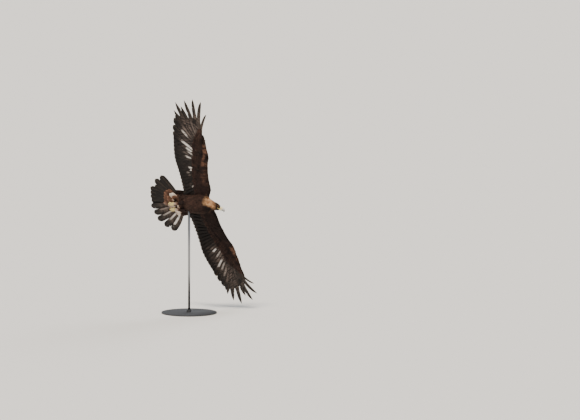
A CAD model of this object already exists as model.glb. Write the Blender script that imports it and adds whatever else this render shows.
# %% [markdown]
# # A golden eagle, banking on a display stand
#
# This lesson dresses a life-size model of a golden eagle. The measured solids come first and are
# never moved: they say how large the bird is and where each part lies. Everything that the eye
# meets is then made here: one skin, several thousand feathers that overlap along the lie of the
# coat, the bill, the eyes, the feet and the stand.
#
# Sizes are written in millimetres, in the bird's own frame: x forwards, y to its left and z
# towards its back. One function carries them into the scene, which is in metres.

# %% Load the measured solids
import math
from functools import partial

import bpy
import numpy as np
from mathutils import Matrix, Quaternion, Vector, noise
from mathutils.kdtree import KDTree


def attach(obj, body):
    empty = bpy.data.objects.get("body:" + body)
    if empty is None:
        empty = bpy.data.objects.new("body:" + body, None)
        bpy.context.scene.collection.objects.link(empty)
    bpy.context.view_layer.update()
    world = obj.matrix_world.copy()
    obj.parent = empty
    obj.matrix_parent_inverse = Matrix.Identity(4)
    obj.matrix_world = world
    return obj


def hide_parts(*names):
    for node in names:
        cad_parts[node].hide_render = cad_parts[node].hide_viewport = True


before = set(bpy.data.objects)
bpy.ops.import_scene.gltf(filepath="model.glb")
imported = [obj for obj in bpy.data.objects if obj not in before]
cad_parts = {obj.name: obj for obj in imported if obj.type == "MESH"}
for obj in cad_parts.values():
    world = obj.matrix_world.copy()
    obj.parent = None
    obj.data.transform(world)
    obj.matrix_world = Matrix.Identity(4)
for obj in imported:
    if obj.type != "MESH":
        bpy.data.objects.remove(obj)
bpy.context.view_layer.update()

# %% [markdown]
# ## Small tools
#
# A feathered body has few straight lines, so most sizes here are read from smooth curves through
# a handful of points. Node trees are built from one helper that adds a node, sets it and wires it.

# %% Curves and blends
MM = 0.001


def smooth_curve(points):
    """A smooth curve through [x, y] points, to be read at any x or array of them."""
    xs, ys = np.array(points, float).T
    slopes = np.empty_like(ys)
    slopes[1:-1] = (ys[2:] - ys[:-2]) / (xs[2:] - xs[:-2])
    slopes[0] = (ys[1] - ys[0]) / (xs[1] - xs[0])
    slopes[-1] = (ys[-1] - ys[-2]) / (xs[-1] - xs[-2])

    def read(x):
        x = np.clip(np.asarray(x, float), xs[0], xs[-1])
        i = np.clip(np.searchsorted(xs, x, side="right") - 1, 0, len(xs) - 2)
        span = xs[i + 1] - xs[i]
        t = (x - xs[i]) / span
        rise = (3 - 2 * t) * t * t
        pull = slopes[i] * t * (1 - t) ** 2 + slopes[i + 1] * t * t * (t - 1)
        return ys[i] + (ys[i + 1] - ys[i]) * rise + pull * span

    return read


def station_curves(stations):
    """A smooth curve for each column after the first, all of them read along the first."""
    stations = np.array(stations, float)
    return [smooth_curve(stations[:, [0, column]]) for column in range(1, stations.shape[1])]


def mix(a, b, t):
    return a + (b - a) * t


def smoothstep(low, high, x):
    t = np.clip((np.asarray(x, float) - low) / (high - low), 0, 1)
    return t * t * (3 - 2 * t)


def unit(vectors):
    vectors = np.asarray(vectors, float)
    return vectors / np.maximum(np.linalg.norm(vectors, axis=-1, keepdims=True), 1e-9)


# %% Colours, nodes and finishes
def colour(hex_code):
    """An sRGB hex colour as the linear values that shaders use."""
    levels = [int(hex_code[i : i + 2], 16) / 255 for i in (1, 3, 5)]
    linear = [v / 12.92 if v <= 0.04045 else ((v + 0.055) / 1.055) ** 2.4 for v in levels]
    return (*linear, 1.0)


def wire(tree, node, inputs):
    """Give a node's inputs, by name or number, a value, another node's output or a whole node."""
    for key, value in inputs.items():
        if isinstance(key, int):
            socket = node.inputs[key]
        else:
            socket = next(socket for socket in node.inputs if socket.enabled and socket.name == key)
        if isinstance(value, bpy.types.Node):
            value = next(out for out in value.outputs if out.enabled)
        if isinstance(value, bpy.types.NodeSocket):
            tree.links.new(value, socket)
        else:
            socket.default_value = value


def add_node(tree, kind, inputs=None, **settings):
    """Add a node with its settings and links."""
    node = tree.nodes.new(kind)
    for name, value in settings.items():
        setattr(node, name, value)
    wire(tree, node, inputs or {})
    return node


def new_finish(name, levels):
    """A material with its even levels set; also a way to add to its tree, and one to wire its shader."""
    finish = bpy.data.materials.new(name)
    finish.use_nodes = True
    tree = finish.node_tree
    shader = tree.nodes["Principled BSDF"]
    wire(tree, shader, levels)
    return finish, partial(add_node, tree), partial(wire, tree, shader)


# %% Meshes and objects
def plain_mesh(name, points, faces=()):
    mesh = bpy.data.meshes.new(name)
    mesh.from_pydata(np.asarray(points, float).tolist(), [], faces)
    return mesh


def link_object(name, data):
    made = bpy.data.objects.new(name, data)
    bpy.context.scene.collection.objects.link(made)
    return made


def plain_copy(made):
    """What an object's modifiers make of it, as a mesh of its own."""
    evaluated = made.evaluated_get(bpy.context.evaluated_depsgraph_get())
    return bpy.data.meshes.new_from_object(evaluated)


def triangles(mesh):
    return sum(len(face.vertices) - 2 for face in mesh.polygons)


# %% [markdown]
# ## Where the bird stands
#
# The bird banks steeply, with its belly to the camera and its head kept nearly level, so its own
# frame is turned three times: heading, climb and bank. The head has one more turn of its own.

# %% The bird's frame and the head's
BIRD_PLACE = (54, 0, 990)
HEADING, CLIMB, BANK = (math.radians(a) for a in (-27, 1.5, 66.2))
HEAD_PLACE = (220, 19, -9)
HEAD_TURN, HEAD_DROP, HEAD_ROLL = (math.radians(a) for a in (22, -4, 39))


def turned(about_z, about_y, about_x):
    """A turn about x, then about y, then about z."""
    turn = Matrix.Identity(4)
    for angle, axis in ((about_z, "Z"), (about_y, "Y"), (about_x, "X")):
        turn = turn @ Matrix.Rotation(angle, 4, axis)
    return turn


BIRD = Matrix.Translation(BIRD_PLACE) @ turned(HEADING, -CLIMB, -BANK)
HEAD_TURNED = turned(HEAD_TURN, HEAD_DROP, HEAD_ROLL)
HEAD = Matrix.Translation(HEAD_PLACE) @ HEAD_TURNED


def moved(points, matrix):
    """Points, one a row, carried by a matrix."""
    m = np.array(matrix)
    return np.asarray(points, float) @ m[:3, :3].T + m[:3, 3]


def to_scene(points):
    return moved(points, BIRD) * MM


def aimed(vectors):
    """Directions in the bird's frame, turned into the scene."""
    return np.asarray(vectors, float) @ np.array(BIRD)[:3, :3].T


print("head's middle, m:", to_scene([HEAD_PLACE])[0].round(3))

# %% [markdown]
# ## Camera, floor and light
#
# The photo was taken from far off with a long lens, so the bird fills only part of the frame and
# shows hardly any perspective. The floor is plain and pale. The key light comes from high on the
# belly's side, nearly along the wings, so that the body shades the root of the lower wing as in
# the photo.

# %% Camera
PHOTO_WIDTH, PHOTO_HEIGHT = 580, 420
MM_PER_PIXEL = 9.0
BODY_PIXEL = (195, 204)
CAMERA_HEIGHT = math.radians(7)
CAMERA_DISTANCE = 80.0

camera_data = bpy.data.cameras.new("camera")
camera = link_object("camera", camera_data)
bpy.context.scene.camera = camera
back = Vector((0, -math.cos(CAMERA_HEIGHT), math.sin(CAMERA_HEIGHT)))
up = Vector((0, math.sin(CAMERA_HEIGHT), math.cos(CAMERA_HEIGHT)))
aim_right = (PHOTO_WIDTH / 2 - BODY_PIXEL[0]) * MM_PER_PIXEL * MM
aim_down = (PHOTO_HEIGHT / 2 - BODY_PIXEL[1]) * MM_PER_PIXEL * MM
aim = Vector(BIRD_PLACE) * MM + Vector((aim_right, 0, 0)) - up * aim_down
camera.location = aim + back * CAMERA_DISTANCE
camera.rotation_euler = back.to_track_quat("Z", "Y").to_euler()
frame_width = PHOTO_WIDTH * MM_PER_PIXEL * MM
camera_data.lens = camera_data.sensor_width * CAMERA_DISTANCE / frame_width
camera_data.clip_end = 5 * CAMERA_DISTANCE
print("camera height:", round(camera.location.z, 2), "m, lens:", round(camera_data.lens), "mm")

# %% Floor
FLOOR_REACH = 150.0

floor_corners = [(x * FLOOR_REACH, y * FLOOR_REACH, 0) for x, y in ((-1, -1), (1, -1), (1, 1), (-1, 1))]
floor_mesh = plain_mesh("floor", floor_corners, [(0, 1, 2, 3)])
floor_paint, *_ = new_finish("matt floor paint", {"Base Color": colour("#e3e2de"), "Roughness": 0.9})
floor_mesh.materials.append(floor_paint)
link_object("floor", floor_mesh)
print("floor:", 2 * FLOOR_REACH, "m wide")

# %% Light
world = bpy.data.worlds.new("studio")
bpy.context.scene.world = world
world.use_nodes = True
surround = world.node_tree.nodes["Background"]
wire(world.node_tree, surround, {"Color": colour("#eef1f5"), "Strength": 0.42})


def soft_sun(name, direction, spread, strength, tint):
    """A lamp so far off that it lights floor and bird alike, as wide as a studio's softbox."""
    data = bpy.data.lights.new(name, "SUN")
    data.angle = math.radians(spread)
    data.energy = strength
    data.color = colour(tint)[:3]
    lamp = link_object(name, data)
    lamp.rotation_euler = Vector(direction).to_track_quat("Z", "Y").to_euler()


soft_sun("key", (-0.26, -0.43, 0.87), 10, 4.6, "#fff4e6")
soft_sun("fill", (0.8, -0.75, 0.35), 40, 0.4, "#eaf1ff")
soft_sun("back", (0.5, 0.9, 0.7), 30, 1.4, "#f6f8ff")
print("lamps:", len(bpy.data.lights))

# %% [markdown]
# ## The skin
#
# Under its feathers a bird is one surface from bill to toes. It could be sculpted, but here it is
# grown from the same rounded sections as the solids, each a coat's depth smaller: rings of torso,
# neck, head, rump, legs and wing arms are lofted, then melted into one closed skin by a voxel
# remesh. Every ring also knows which way its feathers lie, how long they are and how wide, and
# the finished skin takes these from the nearest rings, so one form passes smoothly into the next.

# %% Rings and lofts
def oval_ring(centre, turn, wide, above, below, sides=40, square=2.0):
    """An upright oval across the local x axis: half width, and half height above and below."""
    angle = np.linspace(0, 2 * np.pi, sides, endpoint=False)
    across, height = (np.sign(f) * np.abs(f) ** (2 / square) for f in (np.cos(angle), np.sin(angle)))
    local = np.stack([0 * angle, wide * across, np.where(height > 0, above, below) * height], 1)
    return moved(local, turn) + np.asarray(centre, float)


def loft(rings):
    """Vertices and faces of a closed tube through rings with the same number of points."""
    rings = np.asarray(rings)
    count, sides = rings.shape[:2]
    faces = []
    for r in range(count - 1):
        for s in range(sides):
            a, b = r * sides + s, r * sides + (s + 1) % sides
            faces.append((a, b, b + sides, a + sides))
    faces += [tuple(range(sides))[::-1], tuple((count - 1) * sides + s for s in range(sides))]
    middle = rings.mean(1)
    outwards = np.cross(rings[0, 1] - rings[0, 0], middle[-1] - middle[0]) @ (rings[0, 0] - middle[0])
    if outwards < 0:
        faces = [face[::-1] for face in faces]
    return rings.reshape(-1, 3), faces


def joined_lofts(tubes):
    """Several lofts as one set of vertices, in the scene, and faces."""
    points, faces = [], []
    for rings in tubes:
        tube, loops = loft(rings)
        faces += [tuple(len(points) + i for i in loop) for loop in loops]
        points += to_scene(tube).tolist()
    return points, faces


# %% Forms of the skin
LEVEL = Matrix.Identity(4)
REGIONS = ("body", "neck", "head", "legs", "wing_left", "wing_right")
skin_forms = []


def add_form(region, rings, lie, length, half):
    """Keep a form with its region and, for each ring, its feathers' lie, length and half width."""
    rings = np.asarray(rings)
    facts = [np.broadcast_to(np.asarray(f, float), (len(rings),)) for f in (length, half)]
    facts += [np.full(len(rings), float(region == name)) for name in REGIONS]
    lie = np.broadcast_to(np.asarray(lie, float), rings.shape[:1] + (3,))
    skin_forms.append((rings, lie, *facts))


# %% Torso and rump
BODY_COAT, BODY_LEVEL, WAIST = 8, 4, -112
# Stations of x, half width, and half height above and below
TORSO_STATIONS = [
    [WAIST, 92, 34, 42], [-80, 92, 50, 60], [-30, 92, 64, 80], [30, 94, 70, 88],
    [80, 92, 67, 82], [115, 86, 60, 70], [138, 74, 52, 58],
]
RUMP_STATIONS = [
    [-198, 44, 7, 8], [-178, 80, 11, 13], [-155, 98, 17, 21], [-132, 98, 25, 32], [WAIST, 92, 34, 42],
]
torso_sizes, rump_sizes = station_curves(TORSO_STATIONS), station_curves(RUMP_STATIONS)
torso_x = np.arange(-185, 139, 8)


def torso_ring(x):
    coat = BODY_COAT * smoothstep(-230, -60, x)
    sizes = [size(x) - coat for size in (rump_sizes if x < WAIST else torso_sizes)]
    return oval_ring((x, 0, BODY_LEVEL), LEVEL, *sizes)


behind_breast = smoothstep(120, 0, torso_x)
add_form(
    "body",
    [torso_ring(x) for x in torso_x],
    lie=(-1, 0, 0),
    length=mix(34, 40, behind_breast),
    half=mix(6, 8.5, behind_breast),
)
print("torso rings:", len(torso_x))

# %% Neck
HEAD_COAT = 4
# The start is in the bird's frame and the end in the head's; sizes run from the one to the other
NECK_START, NECK_END = (125, 0, BODY_LEVEL), (-30, 0, 0)
NECK_SIZES = [(72, 43), (54, 39), (60, 40)]
neck_along = np.linspace(0, 1, 14)


def neck_rings():
    """Rings from shoulders to skull, which turn as they go, and the lie of the feathers on each."""
    start, end = Vector(NECK_START), HEAD @ Vector(NECK_END)
    rings, lies = [], []
    for t in neck_along:
        turn = Quaternion().slerp(HEAD_TURNED.to_quaternion(), t)
        coat = mix(BODY_COAT, HEAD_COAT, t)
        sizes = [mix(first, last, t) - coat for first, last in NECK_SIZES]
        rings.append(oval_ring(start.lerp(end, t), turn.to_matrix().to_4x4(), *sizes))
        lies.append(turn @ Vector((-1, 0, 0)))
    return rings, np.array(lies)


neck_shape, neck_lies = neck_rings()
add_form("neck", neck_shape, neck_lies, length=mix(40, 30, neck_along), half=mix(5.5, 3.2, neck_along))
print("neck rings:", len(neck_shape))

# %% Head and brows
EYE_PLACE = Vector((14, 26, 9))
EYE_RADIUS = 9.5
SKULL_SQUARE = 2.2
# Stations of x, half width, half height above and below, and the height of the section's middle
SKULL_STATIONS = [
    [-34, 43, 39, 40, 0], [-16, 41, 36, 38, 2], [2, 37, 32, 34, 3],
    [18, 31, 27, 29, 2], [29, 24, 22, 22, -1], [36, 16, 16, 17, -3],
]
BROW_OFF_EYE = Vector((2, 4.5, 9.5))
BROW_TURN, BROW_DROP = math.radians(20), math.radians(14)
# Half length, half width and half height
BROW_SIZES = (19, 5.5, 3.4)
skull_wide, skull_above, skull_below, skull_middle = station_curves(SKULL_STATIONS)
head_x = np.arange(-34, 37, 3.5)
head_lie = HEAD_TURNED @ Vector((-1, 0, 0))


def head_ring(x):
    sizes = [size(x) - HEAD_COAT for size in (skull_wide, skull_above, skull_below)]
    centre = HEAD @ Vector((x, 0, skull_middle(x)))
    return oval_ring(centre, HEAD_TURNED, *sizes, square=SKULL_SQUARE)


def brow_rings(side):
    """The bony brow over an eye, from the cere back; it turns in and down towards the bill."""
    place = EYE_PLACE + BROW_OFF_EYE
    place.y *= side
    turn = Matrix.Translation(place) @ turned(-side * BROW_TURN, BROW_DROP, 0)
    reach, wide, tall = BROW_SIZES
    rings = []
    for share in np.linspace(-0.97, 0.97, 15):
        thin = math.sqrt(1 - share**2)
        ring = oval_ring((reach * share, 0, 0), LEVEL, wide * thin, tall * thin, tall * thin, sides=24)
        rings.append(moved(ring, HEAD @ turn))
    return rings


towards_face = smoothstep(-30, 24, head_x)
head_shape = [head_ring(x) for x in head_x]
add_form("head", head_shape, head_lie, length=mix(26, 5.0, towards_face), half=mix(3.0, 1.1, towards_face))
for side in (1, -1):
    add_form("head", brow_rings(side), head_lie, length=6, half=1.1)
print("head rings:", len(head_shape))

# %% Legs
LEG_COAT = 5
# Stations of x, distance from the middle plane, height and radius
LEG_STATIONS = [
    [-184, 28, -55, 12], [-150, 31, -56, 15], [-115, 36, -52, 20], [-85, 38, -42, 23], [-58, 30, -22, 20],
]
leg_y, leg_z, leg_thick = station_curves(LEG_STATIONS)
leg_x = np.arange(-58, -186, -6)


def leg_ring(x, side):
    thick = leg_thick(x) - LEG_COAT
    return oval_ring((x, side * leg_y(x), leg_z(x)), LEVEL, thick, thick, thick, sides=20)


towards_foot = smoothstep(-60, -180, leg_x)
for side in (1, -1):
    rings = [leg_ring(x, side) for x in leg_x]
    add_form("legs", rings, lie=(-1, 0, -0.05), length=mix(34, 16, towards_foot), half=4.5)
print("leg rings:", 2 * len(leg_x))

# %% [markdown]
# ## The wing's plan
#
# A wing is laid out on a plan: y runs outwards from the shoulder and x forwards. Three curves read
# along y give the leading edge, the line of the bones from which the flight feathers grow, and the
# trailing edge. The plan is then bent to its surface, arched from front to back and curling up
# towards the fingers, and hung on the shoulder with that wing's own rise, sweep and twist. As no
# bird holds its two wings alike, each also has its own curl of the hand, its own swelling of the
# small feathers along the front edge, and its own reach of tawny there.

# %% Wing plan and surface
SHOULDER = (80, 90, 35)
HAND_START, HAND_SPAN = 450, 550
CAMBER, CREST = 0.0004, 85
WINGS = {
    "left": {
        "side": 1, "rise": -0.9, "sweep": 3.1, "twist": 5.6,
        "hand_bend": 88, "swell": 8, "tawny_from": 300, "tawny_reach": 30,
    },
    "right": {
        "side": -1, "rise": -2.2, "sweep": -3.1, "twist": 6.7,
        "hand_bend": 73, "swell": 17, "tawny_from": 60, "tawny_reach": 48,
    },
}
leading_edge = smooth_curve(
    [[-60, 44], [-20, 72], [20, 84], [147, 96], [286, 128], [375, 162], [450, 168], [550, 176], [620, 172]]
)
bone_line = smooth_curve([[-60, -12], [0, -8], [180, 20], [360, 118], [545, 150], [620, 160]])
trailing_edge = smooth_curve(
    [[-60, -178], [0, -180], [60, -166], [150, -158], [310, -149], [430, -141], [550, -114], [620, -96]]
)


def wing_height(x, y, wing):
    """The surface above the plan: the hand curls up, and the wing arches over a crest behind its edge."""
    curl = np.maximum(y - HAND_START, 0) / HAND_SPAN
    return wing["hand_bend"] * curl**2 - CAMBER * (x - (leading_edge(y) - CREST)) ** 2


def wing_matrix(wing):
    twist, rise, sweep = (math.radians(wing[key]) for key in ("twist", "rise", "sweep"))
    turn = turned(-sweep, 0, 0) @ turned(0, 0, rise) @ turned(0, -twist, 0)
    mirror = Matrix.Diagonal((1, wing["side"], 1, 1))
    return mirror @ Matrix.Translation(SHOULDER) @ turn


def on_wing(x, y, above, wing):
    """Points of the plan, raised above the wing's surface, in the bird's frame."""
    x, y, above = np.broadcast_arrays(*(np.asarray(v, float) for v in (x, y, above)))
    plan = np.stack([x, y, wing_height(x, y, wing) + above], -1)
    return moved(plan.reshape(-1, 3), wing_matrix(wing)).reshape(plan.shape)


# %% The wing's arm
# The coat's depth in front and behind, that above and below, and the least half thickness left
ARM_COAT, ARM_THIN, EDGE_THIN = 4, 2.8, 0.8
arm_half = smooth_curve([[-60, 17], [0, 19], [180, 15], [360, 12], [545, 8], [612, 5]])
arm_behind = smooth_curve([[-60, 60], [0, 52], [180, 46], [360, 40], [480, 24], [545, 18], [612, 12]])
arm_section = smooth_curve([[0, 0.15], [0.08, 0.6], [0.28, 1], [0.6, 0.95], [0.86, 0.7], [1, 0.3]])
arm_feather_length = smooth_curve([[-60, 36], [150, 34], [400, 26], [598, 20]])
arm_feather_half = smooth_curve([[-60, 8], [150, 7.5], [400, 6.2], [598, 5]])
lie_angle = smooth_curve(
    [[-60, -14], [20, -8], [150, 2], [250, 24], [350, 44], [450, 60], [550, 76], [620, 82]]
)
arm_y = np.linspace(-60, 598, 60)


def plan_lie(y, wing):
    """The way that small feathers lie on the wing, turning outwards from body to hand."""
    angle = np.radians(lie_angle(y))
    along = np.stack([-np.cos(angle), np.sin(angle), 0.0 * angle], -1)
    return along @ np.array(wing_matrix(wing))[:3, :3].T


def arm_ring(y, wing):
    """A flat section of the arm, from behind its swollen front edge to behind the bones."""
    front = leading_edge(y) - ARM_COAT + wing["swell"] * smoothstep(-30, 60, y)
    rear = bone_line(y) - arm_behind(y) + ARM_COAT
    shares = np.linspace(0, 1, 16)
    half = np.maximum(arm_section(shares) * arm_half(y) - ARM_THIN, EDGE_THIN)
    above, below = (on_wing(mix(front, rear, shares), y, face * half, wing) for face in (1, -1))
    return np.concatenate([above, below[::-1]])


for hand, wing in WINGS.items():
    rings = [arm_ring(y, wing) for y in arm_y]
    sizes = {"length": arm_feather_length(arm_y), "half": arm_feather_half(arm_y)}
    add_form(f"wing_{hand}", rings, plan_lie(arm_y, wing), **sizes)
print("forms of the skin:", len(skin_forms))

# %% Melt the forms into one skin
SKIN_VOXEL = 3.2
SOFTENING, SOFTENINGS = 0.5, 6


def melted_skin():
    points, faces = joined_lofts(rings for rings, *_ in skin_forms)
    shaper = link_object("skin_forms", plain_mesh("skin forms", points, faces))
    remesh = shaper.modifiers.new("melt", "REMESH")
    remesh.mode = "VOXEL"
    remesh.voxel_size = SKIN_VOXEL * MM
    smooth = shaper.modifiers.new("soften", "SMOOTH")
    smooth.factor, smooth.iterations = SOFTENING, SOFTENINGS
    melted = plain_copy(shaper)
    bpy.data.objects.remove(shaper)
    melted.name = "skin"
    return melted


skin = link_object("skin", melted_skin())
print("skin faces:", len(skin.data.polygons))

# %% [markdown]
# ## What the skin knows
#
# The skin now gets its facts, one value for each vertex: the lie of the feathers, their length and
# width, which part of the body it belongs to, and the bird's markings. They are plain attributes,
# so both the skin's own material and every feather that grows from it read the same markings. Its
# unwrap is named OFBake, and each feather later takes the spot of its root from it.

# %% Facts from the nearest rings
NEAR_RINGS = 5
NEAR_SOFTENING = 2.0
LENGTH_COLUMN, HALF_COLUMN, FIRST_REGION = 3, 4, 5


def put_attribute(mesh, name, values, kind="FLOAT"):
    slot = mesh.attributes.new(name, kind, "POINT")
    field = "vector" if kind == "FLOAT_VECTOR" else "value"
    slot.data.foreach_set(field, np.asarray(values, float).ravel())


def vertex_places(mesh):
    places = np.empty(len(mesh.vertices) * 3)
    mesh.vertices.foreach_get("co", places)
    return places.reshape(-1, 3)


def ring_facts():
    """Every ring point with its facts: lie (3), length, half width and its share in each region."""
    places, facts = [], []
    for rings, lie, *numbers in skin_forms:
        sides = rings.shape[1]
        places.append(rings.reshape(-1, 3))
        facts.append(np.repeat(np.column_stack([lie, *numbers]), sides, axis=0))
    return np.concatenate(places), np.concatenate(facts)


def spread_facts(places):
    """Facts at any places in the bird's frame, weighed from the nearest ring points."""
    known, facts = ring_facts()
    tree = KDTree(len(known))
    for i, place in enumerate(known):
        tree.insert(place, i)
    tree.balance()
    found = [tree.find_n(place, NEAR_RINGS) for place in places]
    index, gap = (np.array([[hit[part] for hit in hits] for hits in found]) for part in (1, 2))
    weight = 1 / (gap + NEAR_SOFTENING) ** 2
    return (facts[index] * weight[..., None]).sum(1) / weight.sum(1)[:, None]


skin_places = moved(vertex_places(skin.data) / MM, BIRD.inverted())
skin_facts = spread_facts(skin_places)
skin_share = {name: skin_facts[:, FIRST_REGION + i] for i, name in enumerate(REGIONS)}
put_attribute(skin.data, "lie", aimed(unit(skin_facts[:, :3])), "FLOAT_VECTOR")
put_attribute(skin.data, "length", skin_facts[:, LENGTH_COLUMN] * MM)
put_attribute(skin.data, "half", skin_facts[:, HALF_COLUMN] * MM)
print("skin points with facts:", len(skin_facts))

# %% Bare places: round the eyes, and under cere and lips
BARE_EYE, BARE_BILL, FACE_REACH = (10.3, 12), (27, 31), 60

head_places = moved(skin_places, HEAD.inverted())
cover = np.ones(len(skin_places))
for side in (1, -1):
    eye_gap = np.linalg.norm(head_places - np.array(EYE_PLACE) * (1, side, 1), axis=1)
    cover = cover * smoothstep(*BARE_EYE, eye_gap)
at_bill = smoothstep(*BARE_BILL, head_places[:, 0]) * (np.linalg.norm(head_places, axis=1) < FACE_REACH)
cover = cover * (1 - at_bill)
for region, share in skin_share.items():
    put_attribute(skin.data, f"cover_{region}", cover * share)
print("skin points without feathers:", int((cover < 0.5).sum()))

# %% [markdown]
# ## Markings
#
# An adult golden eagle is dark brown, a little paler on the breast, with a golden nape, tawny
# small coverts along the front of the wing, tawny to cream feathers under the tail and on the
# legs, and worn, paler coverts on the back of the wing. Markings are weights from nought to one.
# They could be painted into an image, but on skin and scattered feathers they are written here by
# place on the body, so that they need no picture; feathers drawn in rows carry theirs one by one.

# %% Markings by place
TAWNY_BLOTCH, TAWNY_FADE = 34, 80
WRIST, WRIST_SPREAD = 385, 75
PALER_BREAST = 0.1
LEG_CREAM = 0.85


def gold_weight(in_head):
    """Golden hackles over crown and nape, down the sides of the neck; face and throat stay brown."""
    behind_face = 1 - smoothstep(-22, 8, in_head[:, 0] + 0.35 * in_head[:, 2])
    on_neck = smoothstep(-118, -60, in_head[:, 0])
    above_throat = smoothstep(-38, -14, in_head[:, 2] + 0.1 * in_head[:, 0])
    near_head = 1 - smoothstep(62, 90, np.linalg.norm(in_head[:, 1:], axis=1))
    return behind_face * on_neck * above_throat * near_head


def on_plan(in_bird, wing):
    """Places of the bird's frame on a wing's plan: forwards and outwards."""
    return moved(in_bird, wing_matrix(wing).inverted())[:, :2].T


def blotched(places, size):
    """A smooth unevenness from nought to one, with patches of about a size in millimetres."""
    return smoothstep(-0.3, 0.4, [noise.noise(place / size) for place in places])


def tawny_weight(in_bird, share):
    """Tawny under the tail, faint on the breast, and in blotches along the wings' front edge."""
    rear = 1 - smoothstep(-150, -95, in_bird[:, 0])
    below = 1 - smoothstep(-6, 12, in_bird[:, 2])
    middle = 1 - smoothstep(95, 120, np.abs(in_bird[:, 1]))
    tawny = np.maximum(rear * below * middle, PALER_BREAST * share["body"])
    uneven = blotched(in_bird, TAWNY_BLOTCH)
    for hand, wing in WINGS.items():
        forwards, outwards = on_plan(in_bird, wing)
        behind_edge = leading_edge(outwards) - forwards
        first, reach = wing["tawny_from"], wing["tawny_reach"]
        front = 1 - smoothstep(reach / 4, reach, behind_edge)
        front *= smoothstep(first, first + TAWNY_FADE, outwards)
        at_wrist = np.exp(-(((outwards - WRIST) / WRIST_SPREAD) ** 2))
        front *= (1 - smoothstep(480, 580, outwards)) * mix(0.5, 1.0, at_wrist)
        tawny = np.maximum(tawny, front * uneven * share[f"wing_{hand}"])
    return tawny


on_wings = skin_share["wing_left"] + skin_share["wing_right"]
towards_feet = 1 - smoothstep(-165, -120, skin_places[:, 0])
markings = {
    "gold": gold_weight(head_places) * (1 - on_wings),
    "tawny": tawny_weight(skin_places, skin_share),
    "cream": LEG_CREAM * towards_feet * skin_share["legs"],
}
for name, weight in markings.items():
    put_attribute(skin.data, name, weight)
    print(name, "skin points:", int((weight > 0.5).sum()))

# %% Unwrap the skin
bpy.context.view_layer.objects.active = skin
skin.select_set(True)
bpy.ops.object.mode_set(mode="EDIT")
bpy.ops.mesh.select_all(action="SELECT")
bpy.ops.uv.smart_project(angle_limit=math.radians(66), island_margin=0.002)
bpy.ops.object.mode_set(mode="OBJECT")
skin.select_set(False)
skin.data.uv_layers[0].name = "OFBake"
print("skin unwrap:", skin.data.uv_layers[0].name)

# %% [markdown]
# ## Feather patterns
#
# Every feather starts as a copy of one flat pattern: x runs from 0 at the root to 1 at the tip,
# and y reaches out in half widths, along an outline that differs for hackles, coverts, broad
# flight feathers and the notched fingers of the wing's tip. A pattern is a closed blade, thickest
# at the shaft and thin at its edges, with a few splits where barbs have come apart. Blades could
# be single sheets, but closed ones have a true thickness and no back faces.

# %% Cut a pattern
SHAFT_REACH = 0.09
BARB_SLANT = 0.05


def feather_pattern(name, outline, rows, columns, shaft, blade, splits=0, seed=0, mirrored=False):
    """A closed blade; outline rows are [along, leading reach, trailing reach]."""
    rng = np.random.default_rng(seed)
    lead, trail = station_curves(outline)

    # Rows crowd a little towards the tip, and each split brings three of its own
    along = np.linspace(0, 1, rows) ** 0.85
    cuts = []
    for _ in range(splits):
        at, side = rng.uniform(0.35, 0.93), rng.choice([0, 1])
        cuts.append((at, side, rng.uniform(0.3, 0.62)))
        along = np.concatenate([along, [at - 0.012, at, at + 0.006]])
    along = np.unique(np.round(along, 4))
    reaches = np.stack([lead(along), trail(along)])
    for at, side, depth in cuts:
        reaches[side, np.argmin(np.abs(along - at))] *= depth

    # Columns run from the leading edge to the trailing one, and the other way in a left wing
    across = np.linspace(1, -1, columns)
    reach = np.where(across > 0, across * reaches[0][:, None], across * reaches[1][:, None])
    if mirrored:
        across, reach = across[::-1], -reach[:, ::-1]
    middle_share = smoothstep(0, 0.4, along) - smoothstep(0.8, 1, along)
    x = along[:, None] + BARB_SLANT * np.abs(reach) * middle_share[:, None]
    ridge = shaft * (1 - 0.75 * along)[:, None] * np.exp(-((reach / SHAFT_REACH) ** 2))
    body = blade * (1 - across**2)[None] * np.ones_like(x)
    top, bottom = body / 2 + 0.4 * ridge, -body / 2 - 0.6 * ridge
    return blade_mesh(name, x, reach, top, bottom, across)


def blade_mesh(name, x, y, top, bottom, across):
    """Join the top and bottom grids of a blade at their shared edges."""
    rows, columns = x.shape
    inner = np.zeros((rows, columns), bool)
    inner[1:-1, 1:-1] = True
    upper = np.arange(rows * columns).reshape(rows, columns)
    lower = upper.copy()
    lower[inner] = rows * columns + np.arange(inner.sum())
    upper_points = np.stack([x, y, np.where(inner, top, 0)], -1).reshape(-1, 3)
    lower_points = np.stack([x, y, bottom], -1)[inner]
    faces = []
    for r in range(rows - 1):
        for c in range(columns - 1):
            for grid, order in ((upper, 1), (lower, -1)):
                loop = [grid[r, c], grid[r, c + 1], grid[r + 1, c + 1], grid[r + 1, c]]
                faces.append(loop[::order])
    mesh = plain_mesh(name, np.concatenate([upper_points, lower_points]), faces)
    spread = np.broadcast_to(across, (rows, columns))
    put_attribute(mesh, "across", np.concatenate([spread.ravel(), spread[inner]]))
    put_attribute(mesh, "below", np.concatenate([0.5 * ~inner.ravel(), np.ones(inner.sum())]))
    return mesh


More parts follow.
